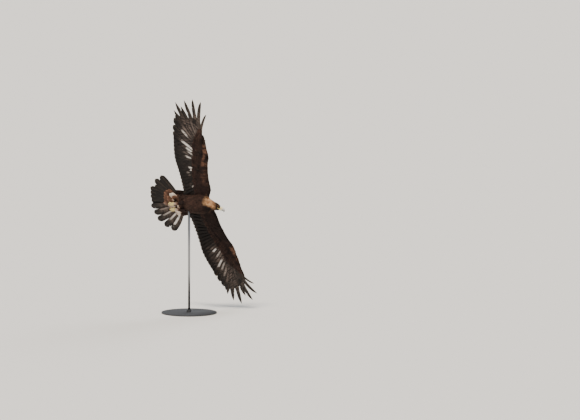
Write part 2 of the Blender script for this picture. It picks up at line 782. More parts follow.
# %% Outlines
HACKLE = [[0, 0.3, 0.3], [0.3, 0.95, 0.95], [0.55, 0.88, 0.88], [0.8, 0.5, 0.5], [1, 0.04, 0.04]]
CONTOUR = [[0, 0.3, 0.3], [0.35, 0.85, 0.85], [0.7, 1, 1], [0.9, 0.72, 0.72], [1, 0.15, 0.15]]
COVERT = [
    [0, 0.2, 0.25], [0.25, 0.7, 0.9], [0.6, 0.85, 1.05],
    [0.85, 0.78, 0.95], [0.96, 0.5, 0.6], [1, 0.12, 0.15],
]
BROAD = [
    [0, 0.1, 0.12], [0.12, 0.4, 0.6], [0.3, 0.66, 0.95], [0.62, 0.82, 1.2],
    [0.86, 0.8, 1.15], [0.96, 0.5, 0.75], [1, 0.08, 0.1],
]
RECTRIX = [
    [0, 0.12, 0.12], [0.15, 0.45, 0.5], [0.4, 0.75, 0.85], [0.68, 0.88, 1.06],
    [0.88, 0.85, 1.03], [0.96, 0.62, 0.76], [1, 0.16, 0.2],
]
FINGER_STARTS = {4: 0.78, 5: 0.66, 6: 0.58, 7: 0.55, 8: 0.5, 9: 0.44, 10: 0.3}
OUTERMOST_WIDTH = 0.72


def finger_outline(start, width):
    """A primary that narrows past its emargination, at a share of its length."""
    stations = [
        [start * 0.5, 0.48, 1.05], [start - 0.05, 0.55, 1.3], [start + 0.08, 0.4, 0.85],
        [start * 0.35 + 0.6, 0.36, 0.7], [0.93, 0.24, 0.42],
    ]
    blade = [[along, lead * width, trail * width] for along, lead, trail in stations]
    return [[0, 0.12, 0.2], *blade, [1, 0.03, 0.05]]


# %% The drawer of patterns
drawer_of_patterns = bpy.data.collections.new("patterns")
pattern_number = {}


def add_pattern(key, *args, **kwargs):
    """Put a pattern in the drawer; the drawer is in order of name, so names start with a number."""
    number = len(pattern_number)
    name = f"{number:03d} {key}"
    drawer_of_patterns.objects.link(bpy.data.objects.new(name, feather_pattern(name, *args, **kwargs)))
    pattern_number[key] = number


# Thicknesses of shaft and blade are in metres, because the tree scales only length and width
small_sizes = {"rows": 6, "columns": 3, "shaft": 0.0003, "blade": 0.0005}
for variant in range(3):
    add_pattern(f"hackle {variant}", HACKLE, **small_sizes, seed=variant)
for variant in range(4):
    add_pattern(f"contour {variant}", CONTOUR, **small_sizes, splits=variant, seed=variant)

# Outline, sizes, splits for each variant and first seed
HANDED_PATTERNS = [
    ("covert", COVERT, {"rows": 9, "columns": 5, "shaft": 0.0006, "blade": 0.0007}, 1, 10),
    ("broad", BROAD, {"rows": 20, "columns": 7, "shaft": 0.0016, "blade": 0.0008}, 2, 20),
    ("rectrix", RECTRIX, {"rows": 24, "columns": 7, "shaft": 0.0018, "blade": 0.0009}, 1, 30),
]
MIRRORED = {"left": True, "right": False}
for variant in range(3):
    for hand, mirrored in MIRRORED.items():
        for key, outline, sizes, splits, first_seed in HANDED_PATTERNS:
            look = {**sizes, "splits": splits * variant, "seed": first_seed + variant, "mirrored": mirrored}
            add_pattern(f"{key} {hand} {variant}", outline, **look)

finger_sizes = {"rows": 26, "columns": 7, "shaft": 0.002, "blade": 0.0009}
for primary, start in FINGER_STARTS.items():
    outline = finger_outline(start, OUTERMOST_WIDTH if primary == max(FINGER_STARTS) else 1.0)
    for hand, mirrored in MIRRORED.items():
        look = {**finger_sizes, "splits": primary % 3, "seed": primary, "mirrored": mirrored}
        add_pattern(f"finger {primary} {hand}", outline, **look)
print("patterns:", len(pattern_number))

# %% [markdown]
# ## The tree that lays feathers
#
# Geometry Nodes do the laying, because it is the same rule thousands of times. Each root point
# carries three places that steer the shaft's curve: a root, a bend and a tip, with the way the
# blade faces, its half width and how far it cups. The tree puts a pattern on each root at the
# origin, makes the copies real, and moves every point along its own curve from root to tip. The
# same tree serves a wing's longest finger and the smallest hackle on the face.

# %% The laying tree: patterns on their roots
MATH, VECTOR_MATH, MIX = "ShaderNodeMath", "ShaderNodeVectorMath", "ShaderNodeMix"
NAMED, STORE = "GeometryNodeInputNamedAttribute", "GeometryNodeStoreNamedAttribute"
NEAREST, MOVE = "GeometryNodeSampleNearestSurface", "GeometryNodeSetPosition"
ANY_NUMBER = "FunctionNodeRandomValue"
# A feather's unwrap is a small patch, this long, round the spot of its root
PATCH = 0.003


def new_tree(name, inputs):
    """An empty geometry tree with named inputs and one output; returns it with its inputs."""
    tree = bpy.data.node_groups.new(name, "GeometryNodeTree")
    for socket, kind in inputs.items():
        tree.interface.new_socket(socket, in_out="INPUT", socket_type=f"NodeSocket{kind}")
    tree.interface.new_socket("Feathers", in_out="OUTPUT", socket_type="NodeSocketGeometry")
    return tree, add_node(tree, "NodeGroupInput").outputs


lay_inputs = {"Roots": "Geometry", "Patterns": "Collection", "Skin": "Object", "Finish": "Material"}
lay_feathers, given = new_tree("lay feathers", lay_inputs)
lay = partial(add_node, lay_feathers)
root, bend, tip, facing, spot = (
    lay(NAMED, {"Name": name}, data_type="FLOAT_VECTOR") for name in ("root", "bend", "tip", "facing", "spot")
)
half, length, cup, tone = (
    lay(NAMED, {"Name": name}, data_type="FLOAT") for name in ("half", "length", "cup", "tone")
)

# Each root takes its spot on the skin's unwrap, and then all of them gather at the origin
skin_shape = lay("GeometryNodeObjectInfo", {"Object": given["Skin"]}).outputs["Geometry"]
unwrap = lay(NAMED, {"Name": "OFBake"}, data_type="FLOAT_VECTOR")
sample = {"Mesh": skin_shape, "Value": unwrap, "Sample Position": root}
spot_there = lay(NEAREST, sample, data_type="FLOAT_VECTOR")
marking = {"Geometry": given["Roots"], "Name": "spot", "Value": spot_there}
marked = lay(STORE, marking, data_type="FLOAT_VECTOR")
gathered = lay(MOVE, {"Geometry": marked, "Position": lay("ShaderNodeCombineXYZ")})
picking = {"Collection": given["Patterns"], "Separate Children": True, "Reset Children": True}
drawer = lay("GeometryNodeCollectionInfo", picking)
number = lay(NAMED, {"Name": "pattern"}, data_type="INT")
picked = {"Points": gathered, "Instance": drawer, "Pick Instance": True, "Instance Index": number}
real = lay("GeometryNodeRealizeInstances", {"Geometry": lay("GeometryNodeInstanceOnPoints", picked)})

# The blade's own measure: metres along and across, and a third number that differs by feather
flat = lay("GeometryNodeInputPosition")
along, reach, rise = lay("ShaderNodeSeparateXYZ", {"Vector": flat}).outputs
along_m = lay(MATH, {0: along, 1: length}, operation="MULTIPLY")
reach_m = lay(MATH, {0: reach, 1: half}, operation="MULTIPLY")
measure = lay("ShaderNodeCombineXYZ", {"X": along_m, "Y": reach_m, "Z": tone})
patch = lay(VECTOR_MATH, {0: flat, 1: (PATCH, PATCH / 3, 0), 2: spot}, operation="MULTIPLY_ADD")
blades = real
for name, value, settings in (
    ("measure", measure, {"data_type": "FLOAT_VECTOR"}),
    ("along", along, {"data_type": "FLOAT"}),
    ("OFBake", patch, {"data_type": "FLOAT2", "domain": "CORNER"}),
):
    blades = lay(STORE, {"Geometry": blades, "Name": name, "Value": value}, **settings)
print("laying tree so far:", len(lay_feathers.nodes), "nodes")

# %% The laying tree: along the shaft's curve, out to the side and up
blend = {"data_type": "VECTOR", "clamp_factor": False}
early = lay(MIX, {"Factor": along, "A": root, "B": bend}, **blend)
late = lay(MIX, {"Factor": along, "A": bend, "B": tip}, **blend)
on_shaft = lay(MIX, {"Factor": along, "A": early, "B": late}, **blend)
onwards = lay(VECTOR_MATH, {0: late, 1: early}, operation="SUBTRACT")
course = lay(VECTOR_MATH, {0: onwards}, operation="NORMALIZE")
crossed = lay(VECTOR_MATH, {0: facing, 1: course}, operation="CROSS_PRODUCT")
sideways = lay(VECTOR_MATH, {0: crossed}, operation="NORMALIZE")
upwards = lay(VECTOR_MATH, {0: course, 1: sideways}, operation="CROSS_PRODUCT")

# A blade's height is its own thickness less its cupping, which grows with the square of its reach
squared = lay(MATH, {0: reach, 1: reach_m}, operation="MULTIPLY")
sag = lay(MATH, {0: squared, 1: cup}, operation="MULTIPLY")
height = lay(MATH, {0: rise, 1: sag}, operation="SUBTRACT")
spread_out = lay(VECTOR_MATH, {0: sideways, "Scale": reach_m}, operation="SCALE")
raised = lay(VECTOR_MATH, {0: upwards, "Scale": height}, operation="SCALE")
off_shaft = lay(VECTOR_MATH, {0: spread_out, 1: raised}, operation="ADD")
place = lay(VECTOR_MATH, {0: on_shaft, 1: off_shaft}, operation="ADD")
laid = lay(MOVE, {"Geometry": blades, "Position": place})
rounded = lay("GeometryNodeSetShadeSmooth", {"Geometry": laid})
finished = lay("GeometryNodeSetMaterial", {"Geometry": rounded, "Material": given["Finish"]})
lay("NodeGroupOutput", {"Feathers": finished})
print("laying tree:", len(lay_feathers.nodes), "nodes")

# %% [markdown]
# ## The tree that scatters roots over the skin
#
# Small feathers have no drawn rows. Their roots are spread at an even spacing over the skin, and
# each feather's bend and tip are found by stepping along its lie and dropping back to the skin, so
# it hugs the body however much that curves. Tips lie a little higher than roots, which makes each
# feather cover the roots behind it like a roof tile.

# %% The scattering tree: roots and how far each feather reaches
# How far a lie strays either way, in radians, and roots enough that their spacing alone decides
STRAY, CROWDED = 0.17, 1e5
scatter_inputs = {
    "Body": "Geometry", "Cover": "String", "Spacing": "Float", "Lift": "Float", "Sink": "Float",
    "Seed": "Int", "First pattern": "Int", "Last pattern": "Int", "Patterns": "Collection",
    "Skin": "Object", "Finish": "Material",
}
scatter_feathers, given = new_tree("scatter feathers", scatter_inputs)
scatter = partial(add_node, scatter_feathers)
spreading = {
    "Mesh": given["Body"],
    "Distance Min": given["Spacing"],
    "Density Max": CROWDED,
    "Density Factor": scatter(NAMED, {"Name": given["Cover"]}, data_type="FLOAT"),
    "Seed": given["Seed"],
}
roots = scatter("GeometryNodeDistributePointsOnFaces", spreading, distribute_method="POISSON")
normal = roots.outputs["Normal"]
here = scatter("GeometryNodeInputPosition")
skin_normal = scatter("GeometryNodeInputNormal")
lie = scatter(NAMED, {"Name": "lie"}, data_type="FLOAT_VECTOR")

# The lie, laid flat on the skin and turned a little either way
facing_share = scatter(VECTOR_MATH, {0: lie, 1: normal}, operation="DOT_PRODUCT")
off_skin = scatter(VECTOR_MATH, {0: normal, "Scale": facing_share}, operation="SCALE")
flat_lie = scatter(VECTOR_MATH, {0: lie, 1: off_skin}, operation="SUBTRACT")
stray = scatter(ANY_NUMBER, {"Min": -STRAY, "Max": STRAY, "Seed": 1})
turning = {"Vector": flat_lie, "Center": (0, 0, 0), "Axis": normal, "Angle": stray}
turned_lie = scatter("ShaderNodeVectorRotate", turning, rotation_type="AXIS_ANGLE")
strayed = scatter(VECTOR_MATH, {0: turned_lie}, operation="NORMALIZE")

# No two feathers have quite the same length, width and lift
longer = scatter(ANY_NUMBER, {"Min": 0.84, "Max": 1.14, "Seed": 2})
wider = scatter(ANY_NUMBER, {"Min": 0.86, "Max": 1.1, "Seed": 3})
higher = scatter(ANY_NUMBER, {"Min": 0.75, "Max": 1.15, "Seed": 4})
skin_length, skin_half = (scatter(NAMED, {"Name": name}, data_type="FLOAT") for name in ("length", "half"))
long_m = scatter(MATH, {0: skin_length, 1: longer}, operation="MULTIPLY")
wide_m = scatter(MATH, {0: skin_half, 1: wider}, operation="MULTIPLY")
skin_shape = scatter("GeometryNodeObjectInfo", {"Object": given["Skin"]}).outputs["Geometry"]
print("scattering tree so far:", len(scatter_feathers.nodes), "nodes")


# %% The scattering tree: where each shaft passes
def above_skin(share, lift_share):
    """Where the shaft's curve is steered to at a share of its way, and the nearest skin's normal."""
    stride = scatter(MATH, {0: long_m, 1: share}, operation="MULTIPLY")
    step = scatter(VECTOR_MATH, {0: strayed, "Scale": stride}, operation="SCALE")
    over = scatter(VECTOR_MATH, {0: here, 1: step}, operation="ADD")
    below = {"Mesh": skin_shape, "Sample Position": over}
    ground, way_up = (
        scatter(NEAREST, {**below, "Value": value}, data_type="FLOAT_VECTOR") for value in (here, skin_normal)
    )
    lift = scatter(MATH, {0: given["Lift"], 1: lift_share}, operation="MULTIPLY")
    lifted = scatter(VECTOR_MATH, {0: way_up, "Scale": lift}, operation="SCALE")
    return scatter(VECTOR_MATH, {0: ground, 1: lifted}, operation="ADD"), way_up


bend_at, facing_at = above_skin(0.5, 1.0)
tip_at, _ = above_skin(1.0, higher)
sunk = scatter(MATH, {0: given["Sink"], 1: -1.0}, operation="MULTIPLY")
under_skin = scatter(VECTOR_MATH, {0: normal, "Scale": sunk}, operation="SCALE")
pattern_limits = {"Min": given["First pattern"], "Max": given["Last pattern"], "Seed": 7}
facts = {
    "root": ("FLOAT_VECTOR", scatter(VECTOR_MATH, {0: here, 1: under_skin}, operation="ADD")),
    "bend": ("FLOAT_VECTOR", bend_at),
    "tip": ("FLOAT_VECTOR", tip_at),
    "facing": ("FLOAT_VECTOR", facing_at),
    "tone": ("FLOAT", scatter(ANY_NUMBER, {"Min": 0.0, "Max": 1.0, "Seed": 5})),
    "cup": ("FLOAT", scatter(ANY_NUMBER, {"Min": 0.12, "Max": 0.3, "Seed": 6})),
    "pattern": ("INT", scatter(ANY_NUMBER, pattern_limits, data_type="INT")),
    "own_half": ("FLOAT", wide_m),
    "own_length": ("FLOAT", long_m),
    "half": ("FLOAT", scatter(NAMED, {"Name": "own_half"}, data_type="FLOAT")),
    "length": ("FLOAT", scatter(NAMED, {"Name": "own_length"}, data_type="FLOAT")),
}
planted = roots.outputs["Points"]
for name, (kind, value) in facts.items():
    planted = scatter(STORE, {"Geometry": planted, "Name": name, "Value": value}, data_type=kind)
laying = {"Roots": planted, **{name: given[name] for name in ("Patterns", "Skin", "Finish")}}
laid = scatter("GeometryNodeGroup", laying, node_tree=lay_feathers)
scatter("NodeGroupOutput", {"Feathers": laid})
print("scattering tree:", len(scatter_feathers.nodes), "nodes")

# %% Run a tree and keep a plain mesh
HELPERS = ["root", "bend", "tip", "facing", "half", "length", "cup", "spot", "pattern", "lie"]
HELPERS += ["own_half", "own_length", *(f"cover_{region}" for region in REGIONS)]


def grown(name, source, tree, **inputs):
    """Run a tree on a mesh and keep what it made as a plain mesh object."""
    made = link_object(name, source)
    modifier = made.modifiers.new("grow", "NODES")
    modifier.node_group = tree
    for item in tree.interface.items_tree:
        key = item.name.replace(" ", "_").lower()
        if item.in_out == "INPUT" and key in inputs:
            modifier[item.identifier] = inputs[key]
    mesh = plain_copy(made)
    made.modifiers.clear()
    made.data = mesh
    mesh.name = name
    for helper in HELPERS:
        if helper in mesh.attributes:
            mesh.attributes.remove(mesh.attributes[helper])
    print(name, "triangles:", triangles(mesh))
    return made


# %% [markdown]
# ## Wing feathers in rows
#
# The long feathers are drawn row by row on the wing's plan, as a bander would count them: ten
# primaries from the hand, thirteen secondaries from the forearm and five tertials towards the
# body, then three tiers of coverts above and below. Each is only a root, a bend and a tip on the
# wing's surface. The leading side of every feather is tilted up, so that each overlaps its outer
# neighbour as on a real wing. The primaries' tips and bows are each wing's own, as a banking bird
# loads them differently. One short primary in each wing is still growing in.

# %% Flight feathers on the plan
TERTIALS, SECONDARIES, PRIMARIES = 5, 13, 10
TERTIAL_RUN = {"roots": (20, 185), "tips": (-34, 142), "bow": 4}
SECONDARY_RUN = {"roots": (185, 350), "tips": (142, 622), "bow": 7}
PRIMARY_ROOTS = (368, 548)
PRIMARY_TIPS = {
    "left": [
        [-91, 666], [-75, 730], [-54, 790], [-50, 885], [-22, 965],
        [39, 1014], [112, 921], [163, 976], [238, 895], [251, 778],
    ],
    "right": [
        [-88, 668], [-72, 729], [-48, 794], [-34, 865], [-5, 936],
        [40, 892], [83, 943], [166, 946], [244, 919], [270, 799],
    ],
}
FINGER_BOWS = {
    "left": [9, 9, 9, 6, 2, -4, -8, -18, -34, -38],
    "right": [9, 9, 9, 6, 7, 8, 12, -2, -16, -16],
}
HALF_WIDTHS = {"inner": 30, "broad primary": 31, "finger": 28}
INNER_TILT, PRIMARY_TILT = 0.08, 0.12
ROOT_BEHIND_BONE = 4
CROWDING = 0.04


def flight_plan(hand):
    """Root, tip, bow, pattern, half width and tilt of every flight feather, from the body outwards."""
    plan = []
    for i in range(TERTIALS + SECONDARIES):
        run = TERTIAL_RUN if i < TERTIALS else SECONDARY_RUN
        t = i / TERTIALS if i < TERTIALS else (i - TERTIALS) / (SECONDARIES - 1)
        root_y, tip_y = mix(*run["roots"], t), mix(*run["tips"], t)
        root, tip = (bone_line(root_y) - ROOT_BEHIND_BONE, root_y), (trailing_edge(tip_y), tip_y)
        plan.append((root, tip, run["bow"], f"broad {hand} {i % 3}", HALF_WIDTHS["inner"], INNER_TILT))
    for i, (tip, bow) in enumerate(zip(PRIMARY_TIPS[hand], FINGER_BOWS[hand])):
        number = i + 1
        root_y = mix(*PRIMARY_ROOTS, i / (PRIMARIES - 1))
        fingered = number in FINGER_STARTS
        pattern = f"finger {number} {hand}" if fingered else f"broad {hand} {i % 3}"
        half = HALF_WIDTHS["finger" if fingered else "broad primary"]
        plan.append(((bone_line(root_y), root_y), tip, bow, pattern, half, PRIMARY_TILT))
    return plan


def crowding(place):
    """Primaries crowd at the hand, so each outer one lies a little further towards the belly."""
    return -CROWDING * max(place - TERTIALS - SECONDARIES, 0) ** 2


print("flight feathers in a wing:", len(flight_plan("left")))

# %% From plan to roots
MARKS = ("gold", "tawny", "cream", "grey", "pale", "pale_at", "pale_reach")
WING_CUP = 0.05


def root_mesh(name, rows):
    """A mesh with one vertex for each feather, carrying everything the laying tree reads."""
    mesh = plain_mesh(name, [row["root"] for row in rows])
    for key in ("root", "bend", "tip", "facing"):
        put_attribute(mesh, key, [row[key] for row in rows], "FLOAT_VECTOR")
    for key in ("half", "length", "cup", "tone", *MARKS):
        put_attribute(mesh, key, [row[key] for row in rows])
    numbers = mesh.attributes.new("pattern", "INT", "POINT")
    numbers.data.foreach_set("value", [row["pattern"] for row in rows])
    return mesh


def feather(shaft, facing, cup, pattern, half, rng, marks):
    """One row of a root mesh, from the root, middle and tip of a bent shaft in the bird's frame."""
    a, b, c = (np.array(place, float) for place in shaft)
    return {
        "root": to_scene([a])[0],
        "bend": to_scene([2 * b - (a + c) / 2])[0],
        "tip": to_scene([c])[0],
        "facing": unit(aimed(facing)),
        "half": half * MM,
        "length": np.linalg.norm(c - a) * MM,
        "cup": cup,
        "tone": rng.uniform(),
        "pattern": pattern_number[pattern],
        **{mark: marks.get(mark, 0.0) for mark in MARKS},
    }


def wing_row(wing, root, tip, bow, pattern, half, tilt, layers, rng, **marks):
    """One feather on the wing: plan places become a shaft through three places in the bird's frame."""
    root, tip = np.array(root, float), np.array(tip, float)
    run = unit(tip - root)
    forwards = np.array([run[1], -run[0]])
    middle = (root + tip) / 2 + forwards * bow
    places = np.array([root, middle, tip, middle + run, middle + forwards])
    a, b, c, further, beside = on_wing(*places.T, (*layers, layers[1], layers[1]), wing)
    back = unit(np.cross(beside - b, further - b)) * wing["side"]
    return feather((a, b, c), back - tilt * unit(beside - b), WING_CUP, pattern, half, rng, marks)


# %% White marks, greyness and the alula
ALULA = [((152, 436), (160, 560), 12), ((148, 430), (152, 534), 12), ((144, 424), (143, 508), 11)]
ALULA_BOW, ALULA_TILT, ALULA_LAYERS = -3, 0.05, np.array([7, 9, 6])
FLIGHT_SEED = 41
# By feather from the body outwards: how white, at what share of its length, and how far it reaches
WHITE_PATCHES = {
    "left": {
        12: (0.35, 0.72, 0.10), 13: (0.50, 0.56, 0.07), 14: (1.00, 0.52, 0.09), 15: (0.35, 0.60, 0.16),
        16: (0.75, 0.45, 0.14), 17: (0.50, 0.48, 0.12), 18: (0.90, 0.58, 0.14), 19: (0.70, 0.55, 0.12),
        20: (0.60, 0.60, 0.12), 21: (0.45, 0.62, 0.10), 22: (0.20, 0.50, 0.10), 24: (0.50, 0.37, 0.12),
    },
    "right": {
        3: (0.80, 0.43, 0.07), 4: (0.40, 0.54, 0.07), 7: (0.50, 0.50, 0.07), 8: (0.60, 0.55, 0.08),
        9: (1.00, 0.34, 0.12), 10: (1.00, 0.41, 0.09), 13: (0.40, 0.48, 0.08), 14: (0.90, 0.46, 0.10),
        15: (0.50, 0.56, 0.10), 16: (0.85, 0.40, 0.11), 17: (1.00, 0.44, 0.13), 18: (1.15, 0.51, 0.20),
        19: (0.25, 0.60, 0.15), 20: (0.80, 0.60, 0.10), 21: (0.50, 0.52, 0.14), 22: (0.40, 0.50, 0.15),
        23: (0.45, 0.43, 0.15), 24: (0.50, 0.38, 0.18), 25: (0.50, 0.25, 0.18), 26: (0.40, 0.18, 0.14),
    },
}
GREYNESS = {
    "left": smooth_curve([[0, 0], [11, 0.1], [14, 1], [21, 1], [24, 0.6], [27, 0.3]]),
    "right": smooth_curve([[0, 0.1], [12, 0.2], [17, 0.6], [22, 0.8], [27, 0.9]]),
}


def long_marks(patches, greyness, place):
    """A long feather's own marks: its white patch, if it has one, and how grey its marbling is."""
    patch = dict(zip(("pale", "pale_at", "pale_reach"), patches.get(place, (0, 0.5, 0.1))))
    return {**patch, "grey": float(greyness(place))}


def flight_rows(hand):
    wing, rng = WINGS[hand], np.random.default_rng(FLIGHT_SEED)
    rows = []
    for i, sizes in enumerate(flight_plan(hand)):
        marks = long_marks(WHITE_PATCHES[hand], GREYNESS[hand], i)
        rows.append(wing_row(wing, *sizes, (crowding(i),) * 3, rng, **marks))
    for i, (root, tip, half) in enumerate(ALULA):
        sizes = (root, tip, ALULA_BOW, f"covert {hand} {i}", half, ALULA_TILT, ALULA_LAYERS - i)
        rows.append(wing_row(wing, *sizes, rng))
    return rows


# %% Coverts on the plan
COVERT_SEED = 53
COVERT_BOW, COVERT_TILT, LONGEST_COVERED = 2, 0.07, 420
# The outermost covert lies this many places before the end of the row of flight feathers
OUTERMOST_PLACE = 2.6
# A tier's reach is a share of the flight feather under it, above (1) and below (-1) the wing
COVERT_TIERS = [
    {"count": 27, "reach": {1: 0.45, -1: 0.36}, "half": 21, "worn": 0.1, "layer": (2.5, 5.5, 5.5)},
    {"count": 25, "reach": {1: 0.3, -1: 0.25}, "half": 19, "worn": 0.4, "layer": (5, 8.5, 8)},
    {"count": 25, "reach": {1: 0.2, -1: 0.18}, "half": 17, "worn": 0.5, "layer": (8, 11.5, 10.5)},
]


def covert_row(wing, hand, flights, place, tier, face, rng):
    """A covert at a place between two flight feathers, towards the tip of what it covers."""
    k, t = int(place), place - int(place)
    root, tip = (mix(np.array(flights[k][end]), np.array(flights[k + 1][end]), t) for end in (0, 1))
    full = np.linalg.norm(tip - root)
    reach = tier["reach"][face] * rng.uniform(0.92, 1.06) * min(full, LONGEST_COVERED)
    tip = root + (tip - root) * reach / full
    layers = tuple(face * layer + crowding(place) for layer in tier["layer"])
    pattern = f"covert {hand} {rng.integers(3)}"
    tawny = rng.uniform(0, 0.1) + (tier["worn"] if face > 0 else 0)
    return wing_row(wing, root, tip, COVERT_BOW, pattern, tier["half"], COVERT_TILT, layers, rng, tawny=tawny)


def covert_rows(hand):
    wing, rng = WINGS[hand], np.random.default_rng(COVERT_SEED)
    flights = flight_plan(hand)
    rows = []
    for tier in COVERT_TIERS:
        for face in (1, -1):
            for i in range(tier["count"]):
                place = i / (tier["count"] - 1) * (len(flights) - OUTERMOST_PLACE)
                rows.append(covert_row(wing, hand, flights, place, tier, face, rng))
    return rows


print("coverts in a wing:", len(covert_rows("left")))

# %% [markdown]
# ## Tail feathers
#
# Twelve tail feathers fan out from the rump, the middle pair on top, with tiers of coverts above
# and below. The fan could be one sheet cut into lobes, but single feathers overlap truly where it
# opens. It sags to both sides, and its outer feathers bow outwards. The feathers part in a few
# places, as in a worn tail, and those on the left carry grey and white.

# %% The tail's fan
TAIL_ROOT, TAIL_LEVEL, TAIL_SAG = -115, 4, 0.00012
TAIL_LENGTH, TAIL_SPREAD = 335, math.radians(59.4)
TAIL_TILT, TAIL_CUP, TAIL_HALF = 0.11, 0.04, 33
TAIL_START = 18
TAIL_SEED = 7
OUTERMOST_BOW = {1: 20, -1: 2}
# Each feather's angle from the middle line, left positive, and the distance of its tip
RECTRICES = [
    [-61, 332], [-47.5, 339], [-36.5, 308], [-28, 341], [-20, 333], [-12, 330],
    [-3.5, 328], [7, 345], [19, 344], [31, 353], [45, 344], [58, 332],
]
MIDDLE_FEATHER, MIDDLE_LAYER = 6, 4
TAIL_PATCHES = {
    6: (0.30, 0.60, 0.20), 7: (0.40, 0.55, 0.22), 8: (0.55, 0.62, 0.20),
    9: (0.75, 0.50, 0.24), 10: (0.90, 0.45, 0.26), 11: (1.40, 0.50, 0.32),
}
tail_greyness = smooth_curve([[0, 0.1], [5, 0.15], [8, 0.9], [11, 1]])
UP = np.array([0, 0, 1.0])


def on_tail(x, y, above):
    return np.array([x, y, TAIL_LEVEL - TAIL_SAG * y * y + above])


def tail_row(angle, start, reach, layers, tilt, kind, variant, half, rng, **marks):
    """One feather of the fan, at an angle from the middle line, left side positive."""
    side = 1 if angle >= 0 else -1
    hand = "left" if angle > 0 else "right"
    course = np.array([-math.cos(angle), math.sin(angle)])
    outwards = np.array([abs(course[1]), side * -course[0]])
    centre = np.array([TAIL_ROOT, 0])
    root, tip = centre + start * course, centre + reach * course
    bow = OUTERMOST_BOW[side] * abs(angle) / TAIL_SPREAD * reach / TAIL_LENGTH
    middle = (root + tip) / 2 + outwards * bow
    shaft = [on_tail(*place, layer) for place, layer in zip((root, middle, tip), layers)]
    facing = UP - tilt * np.array([*outwards, 0])
    return feather(shaft, facing, TAIL_CUP, f"{kind} {hand} {variant}", half, rng, marks)


def rectrix_rows():
    rng = np.random.default_rng(TAIL_SEED)
    rows = []
    for i, (degrees, reach) in enumerate(RECTRICES):
        layers = (MIDDLE_LAYER if i == MIDDLE_FEATHER else 0,) * 3
        marks = long_marks(TAIL_PATCHES, tail_greyness, i)
        sizes = (math.radians(degrees), TAIL_START, reach, layers, TAIL_TILT)
        rows.append(tail_row(*sizes, "rectrix", i % 3, TAIL_HALF, rng, **marks))
    return rows


# %% Tail coverts
TAIL_COVERT_SEED = 19
TAIL_COVERT_SPREAD, TAIL_COVERT_TILT = 0.86 * TAIL_SPREAD, 0.08
TAIL_TIERS = [
    {"face": -1, "count": 13, "start": 30, "reach": 200, "half": 23, "layer": (4, 7, 6)},
    {"face": -1, "count": 13, "start": 22, "reach": 160, "half": 21, "layer": (8, 12, 10)},
    {"face": -1, "count": 12, "start": 16, "reach": 122, "half": 20, "layer": (12, 18, 15)},
    {"face": 1, "count": 13, "start": 30, "reach": 175, "half": 22, "layer": (4, 7, 6)},
    {"face": 1, "count": 12, "start": 22, "reach": 138, "half": 20, "layer": (8, 13, 11)},
]


def tail_covert_rows():
    """Coverts of the fan; those below are shorter and creamier on the left, with stray cream spots."""
    rng = np.random.default_rng(TAIL_COVERT_SEED)
    rows = []
    for tier in TAIL_TIERS:
        for i in range(tier["count"]):
            angle = TAIL_COVERT_SPREAD * (2 * i / (tier["count"] - 1) - 1)
            under = tier["face"] < 0
            to_left = float(smoothstep(-0.1, 0.5, angle))
            reach = tier["reach"] * rng.uniform(0.9, 1.06) * (1 - 0.25 * to_left * under)
            layers = tuple(tier["face"] * layer for layer in tier["layer"])
            spot = 0.8 * (rng.uniform() < 0.25)
            marks = {"tawny": 0.1}
            if under:
                marks = {"tawny": rng.uniform(0.5, 1), "cream": max(spot, 0.95 * to_left)}
            sizes = (angle, tier["start"], reach, layers, TAIL_COVERT_TILT)
            rows.append(tail_row(*sizes, "covert", rng.integers(3), tier["half"], rng, **marks))
    return rows


# %% [markdown]
# ## Flank feathers
#
# Between the rear edge of a spread wing and the tail, long soft feathers stream back from the
# bird's sides and close the gap. They could be left to the scattering tree, but that only knows
# feathers that hug the skin, and these lie free of it. So they are drawn in two tiers too, each
# feather a step further back and more aslant than the one before.

# %% Flank feathers
FLANK_SEED = 29
FLANK_HALF, FLANK_CUP, FLANK_LEAN = 19, 0.06, 0.3
# Roots and runs of the first and the last feather, what the middle one's run has more, and the arch
FLANK_ROOTS = np.array([-30, 70, 24]), np.array([-128, 74, 10])
FLANK_RUNS = np.array([-78, 46, -5]), np.array([-78, 28, -5])
FLANK_BULGE, FLANK_ARCH = np.array([-20, 24, 0]), np.array([0, 5, 4])
FLANK_TIERS = [{"count": 9, "reach": 1.0, "lower": 0}, {"count": 8, "reach": 0.75, "lower": 8}]


def flank_rows():
    """Long soft feathers from the body's sides, longest in the middle of each tier."""
    rng = np.random.default_rng(FLANK_SEED)
    rows = []
    for hand, wing in WINGS.items():
        for tier in FLANK_TIERS:
            for t in np.linspace(0, 1, tier["count"]):
                root = mix(*FLANK_ROOTS, t) - tier["lower"] * UP
                run = mix(*FLANK_RUNS, t) + FLANK_BULGE * math.sin(math.pi * t)
                run = run * tier["reach"] * rng.uniform(0.9, 1.08)
                shaft = np.array([root, root + run / 2 + FLANK_ARCH, root + run]) * (1, wing["side"], 1)
                pattern = f"covert {hand} {rng.integers(3)}"
                facing = UP + (0, FLANK_LEAN * wing["side"], 0)
                rows.append(feather(shaft, facing, FLANK_CUP, pattern, FLANK_HALF, rng, {"tawny": 0.1}))
    return rows


print("flank feathers:", len(flank_rows()))

# %% [markdown]
# ## Plumage
#
# A vane is a row of thin keratin barbs that slant out from the shaft and hook together. It is
# matt with a faint silky sheen along the barbs; old tips bleach and fray to a paler brown. The
# barbs could be modelled one by one, but at this size they are drawn: a coordinate that runs
# along the shaft less a share of the way out from it is constant along each barb, so a pattern in
# it follows the barbs. A real barb is about half a millimetre wide and is drawn coarser, to show.

# %% Browns, golds, tawny and cream
ATTRIBUTE, NOISE, RANGE = "ShaderNodeAttribute", "ShaderNodeTexNoise", "ShaderNodeMapRange"
BUMP, COORDINATES, SMOOTH = "ShaderNodeBump", "ShaderNodeTexCoord", "SMOOTHSTEP"
